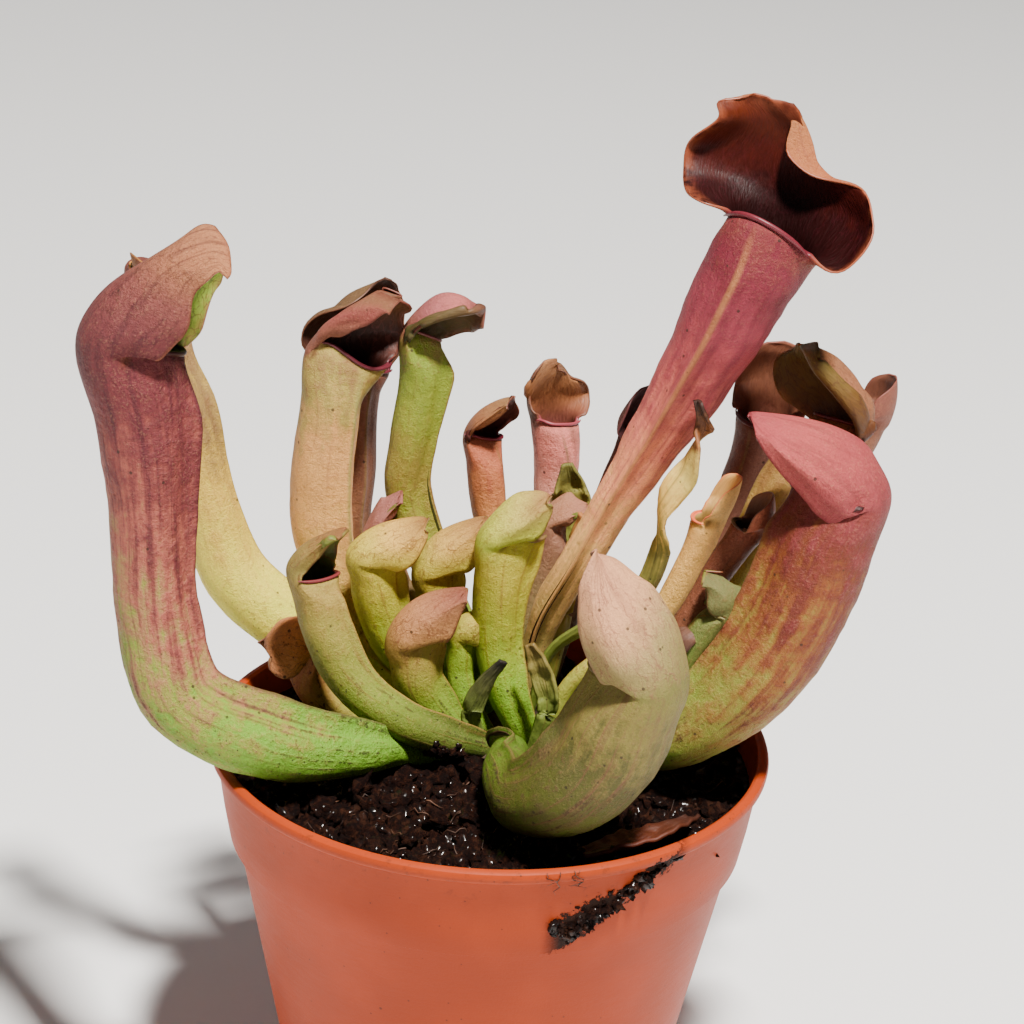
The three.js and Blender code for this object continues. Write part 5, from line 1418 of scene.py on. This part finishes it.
def pot_finish():
    """Terracotta-coloured plastic: smooth, a little scuffed, with specks and a smear of peat at the front."""
    finish = Finish("pot_plastic", specular=0.15)
    place = finish.place()
    x, y, z = (place.part(axis) for axis in "XYZ")
    cloud = finish.noise(place, 0.05, 3)
    grain = finish.noise(place, 3.5, 3)
    blotch = finish.noise(place, 0.55, 5, 0.75)
    scuff = finish.noise(finish.vector(x * 0.3, y * 0.3, z * 1.6), 1, 5, 0.7)
    colour = finish.mix(cloud.rise(0.35, 0.7), "ae4824", "b6502a")
    colour = finish.mix(scuff.rise(0.62, 0.75) * 0.08, colour, "d49070")
    low = 1 - z.rise(0, 25)
    colour = finish.mix(low * scuff.rise(0.45, 0.6) * 0.3, colour, "8a5a3c")
    dots = specks(finish, place, 0.22, 0.07).larger(specks(finish, place, 0.5, 0.1))
    under_lip = z.rise(60, 68.5) * blotch.rise(0.56, 0.66) * 0.5
    colour = finish.mix(dots.larger(under_lip) * 0.7, colour, "4a2a1c")
    along = (x - SMEAR[0][0]) / (SMEAR[1][0] - SMEAR[0][0])
    width = (1 - along.rise(0.25, 0.55)) * 1.5 + 1.0
    away = abs(z - SMEAR[0][1] - along * (SMEAR[1][1] - SMEAR[0][1])) + (blotch - 0.5) * 9 - width
    ends = along.rise(-0.15, 0.05) * (1 - along.rise(0.95, 1.12)) * (1 - y.rise(-5, -2))
    smear = (1 - away.rise(0.0, 0.5)) * ends
    colour = finish.mix(smear, colour, "200c06")
    colour = finish.shade(colour, grain * 0.16 + 0.92)
    return finish.wear(base_color=colour, roughness=0.42 + scuff * 0.2 + smear * 0.2,
                       normal=finish.bump((grain + scuff) * 0.1 + smear * blotch * 2, 0.6, 0.5))


def peat_finish():
    """Wet peat: near black with red-brown crumbs, and a wet shine on some of them."""
    known = bpy.data.materials.get("wet_peat")
    if known:
        return known
    finish = Finish("wet_peat", specular=0.1, coat_roughness=0.18)
    place = finish.place()
    crumb = finish.noise(place, 1.1, 6, 0.7)
    tint = finish.cells(place, 0.9, output="Color").part("X")
    wet = finish.noise(place, 0.6, 4, 0.6)
    colour = finish.ramp(crumb, [(0.3, "080301"), (0.5, "180704"), (0.62, "38160c"), (0.78, "6c3820")])
    colour = finish.mix(tint.rise(0.8, 0.95) * 0.4, colour, "643622")
    bumps = finish.noise(place, 2.2, 6, 0.75)
    return finish.wear(base_color=colour, roughness=0.9 - crumb * 0.2, coat=wet.rise(0.5, 0.58) * 0.5,
                       normal=finish.bump(bumps + crumb, 0.8, 1.0))


def fibre_finish():
    finish = Finish("peat_fibre", specular=0.4)
    place = finish.place()
    shade = finish.noise(place, 0.35, 3)
    colour = finish.ramp(shade, [(0.35, "2a1710"), (0.55, "5a3524"), (0.7, "8a5c3e")])
    return finish.wear(base_color=colour, roughness=0.45 + shade * 0.3)


def crown_finish():
    finish = Finish("rhizome", specular=0.4)
    place = finish.place()
    rough = finish.noise(place, 0.6, 5, 0.7)
    colour = finish.ramp(rough, [(0.3, "2a1a12"), (0.5, "4a3020"), (0.7, "6c5a34")])
    return finish.wear(base_color=colour, roughness=0.5 + rough * 0.3, normal=finish.bump(rough, 0.6, 0.8))


def add_camera():
    """The camera stands where the photographer stood, a little rolled."""
    eye, target = Vector(CAMERA_PLACE), Vector(CAMERA_TARGET)
    forward = (target - eye).normalized()
    right = forward.cross(Vector((0, 0, 1))).normalized()
    up = right.cross(forward)
    roll = math.radians(CAMERA_ROLL)
    across = right * math.cos(roll) + up * math.sin(roll)
    above = up * math.cos(roll) - right * math.sin(roll)
    camera = bpy.data.objects.new("camera", bpy.data.cameras.new("camera"))
    camera.matrix_world = Matrix.Translation(eye) @ Matrix((across, above, -forward)).transposed().to_4x4()
    camera.data.lens = CAMERA_LENS
    camera.data.clip_start = 0.01
    bpy.context.collection.objects.link(camera)
    bpy.context.scene.camera = camera


def add_light(name, place, size, power, colour):
    light = bpy.data.lights.new(name, "AREA")
    light.size = size
    light.energy = power
    light.color = colour
    lamp = bpy.data.objects.new(name, light)
    lamp.location = place
    lamp.rotation_euler = (Vector(LIGHT_TARGET) - Vector(place)).to_track_quat("-Z", "Y").to_euler()
    bpy.context.collection.objects.link(lamp)


def add_studio():
    """A pale floor, a high key light and soft fill."""
    deselect()
    bpy.ops.mesh.primitive_plane_add(size=12)
    floor = name_piece(bpy.context.object, "floor")
    finish = Finish("floor_paper", roughness=0.9, specular=0.1)
    cloud = finish.noise(finish.place(), 0.004, 2)
    floor.data.materials.append(finish.wear(base_color=finish.mix(cloud, "f4f3f1", "fafaf9")))
    world = bpy.data.worlds.new("studio")
    world.use_nodes = True
    world.node_tree.nodes["Background"].inputs["Color"].default_value = (0.95, 0.97, 1, 1)
    world.node_tree.nodes["Background"].inputs["Strength"].default_value = SKY_STRENGTH
    bpy.context.scene.world = world
    for lamp, settings in LIGHTS.items():
        add_light(lamp, *settings)


add_camera()
pot_piece()
peat_piece()
crumb_pieces()
fibre_pieces()
crown_piece()
for pitcher_name in PITCHERS:
    pitcher_piece(pitcher_name)
for leaf_name in LEAVES:
    leaf_piece(leaf_name)
add_studio()
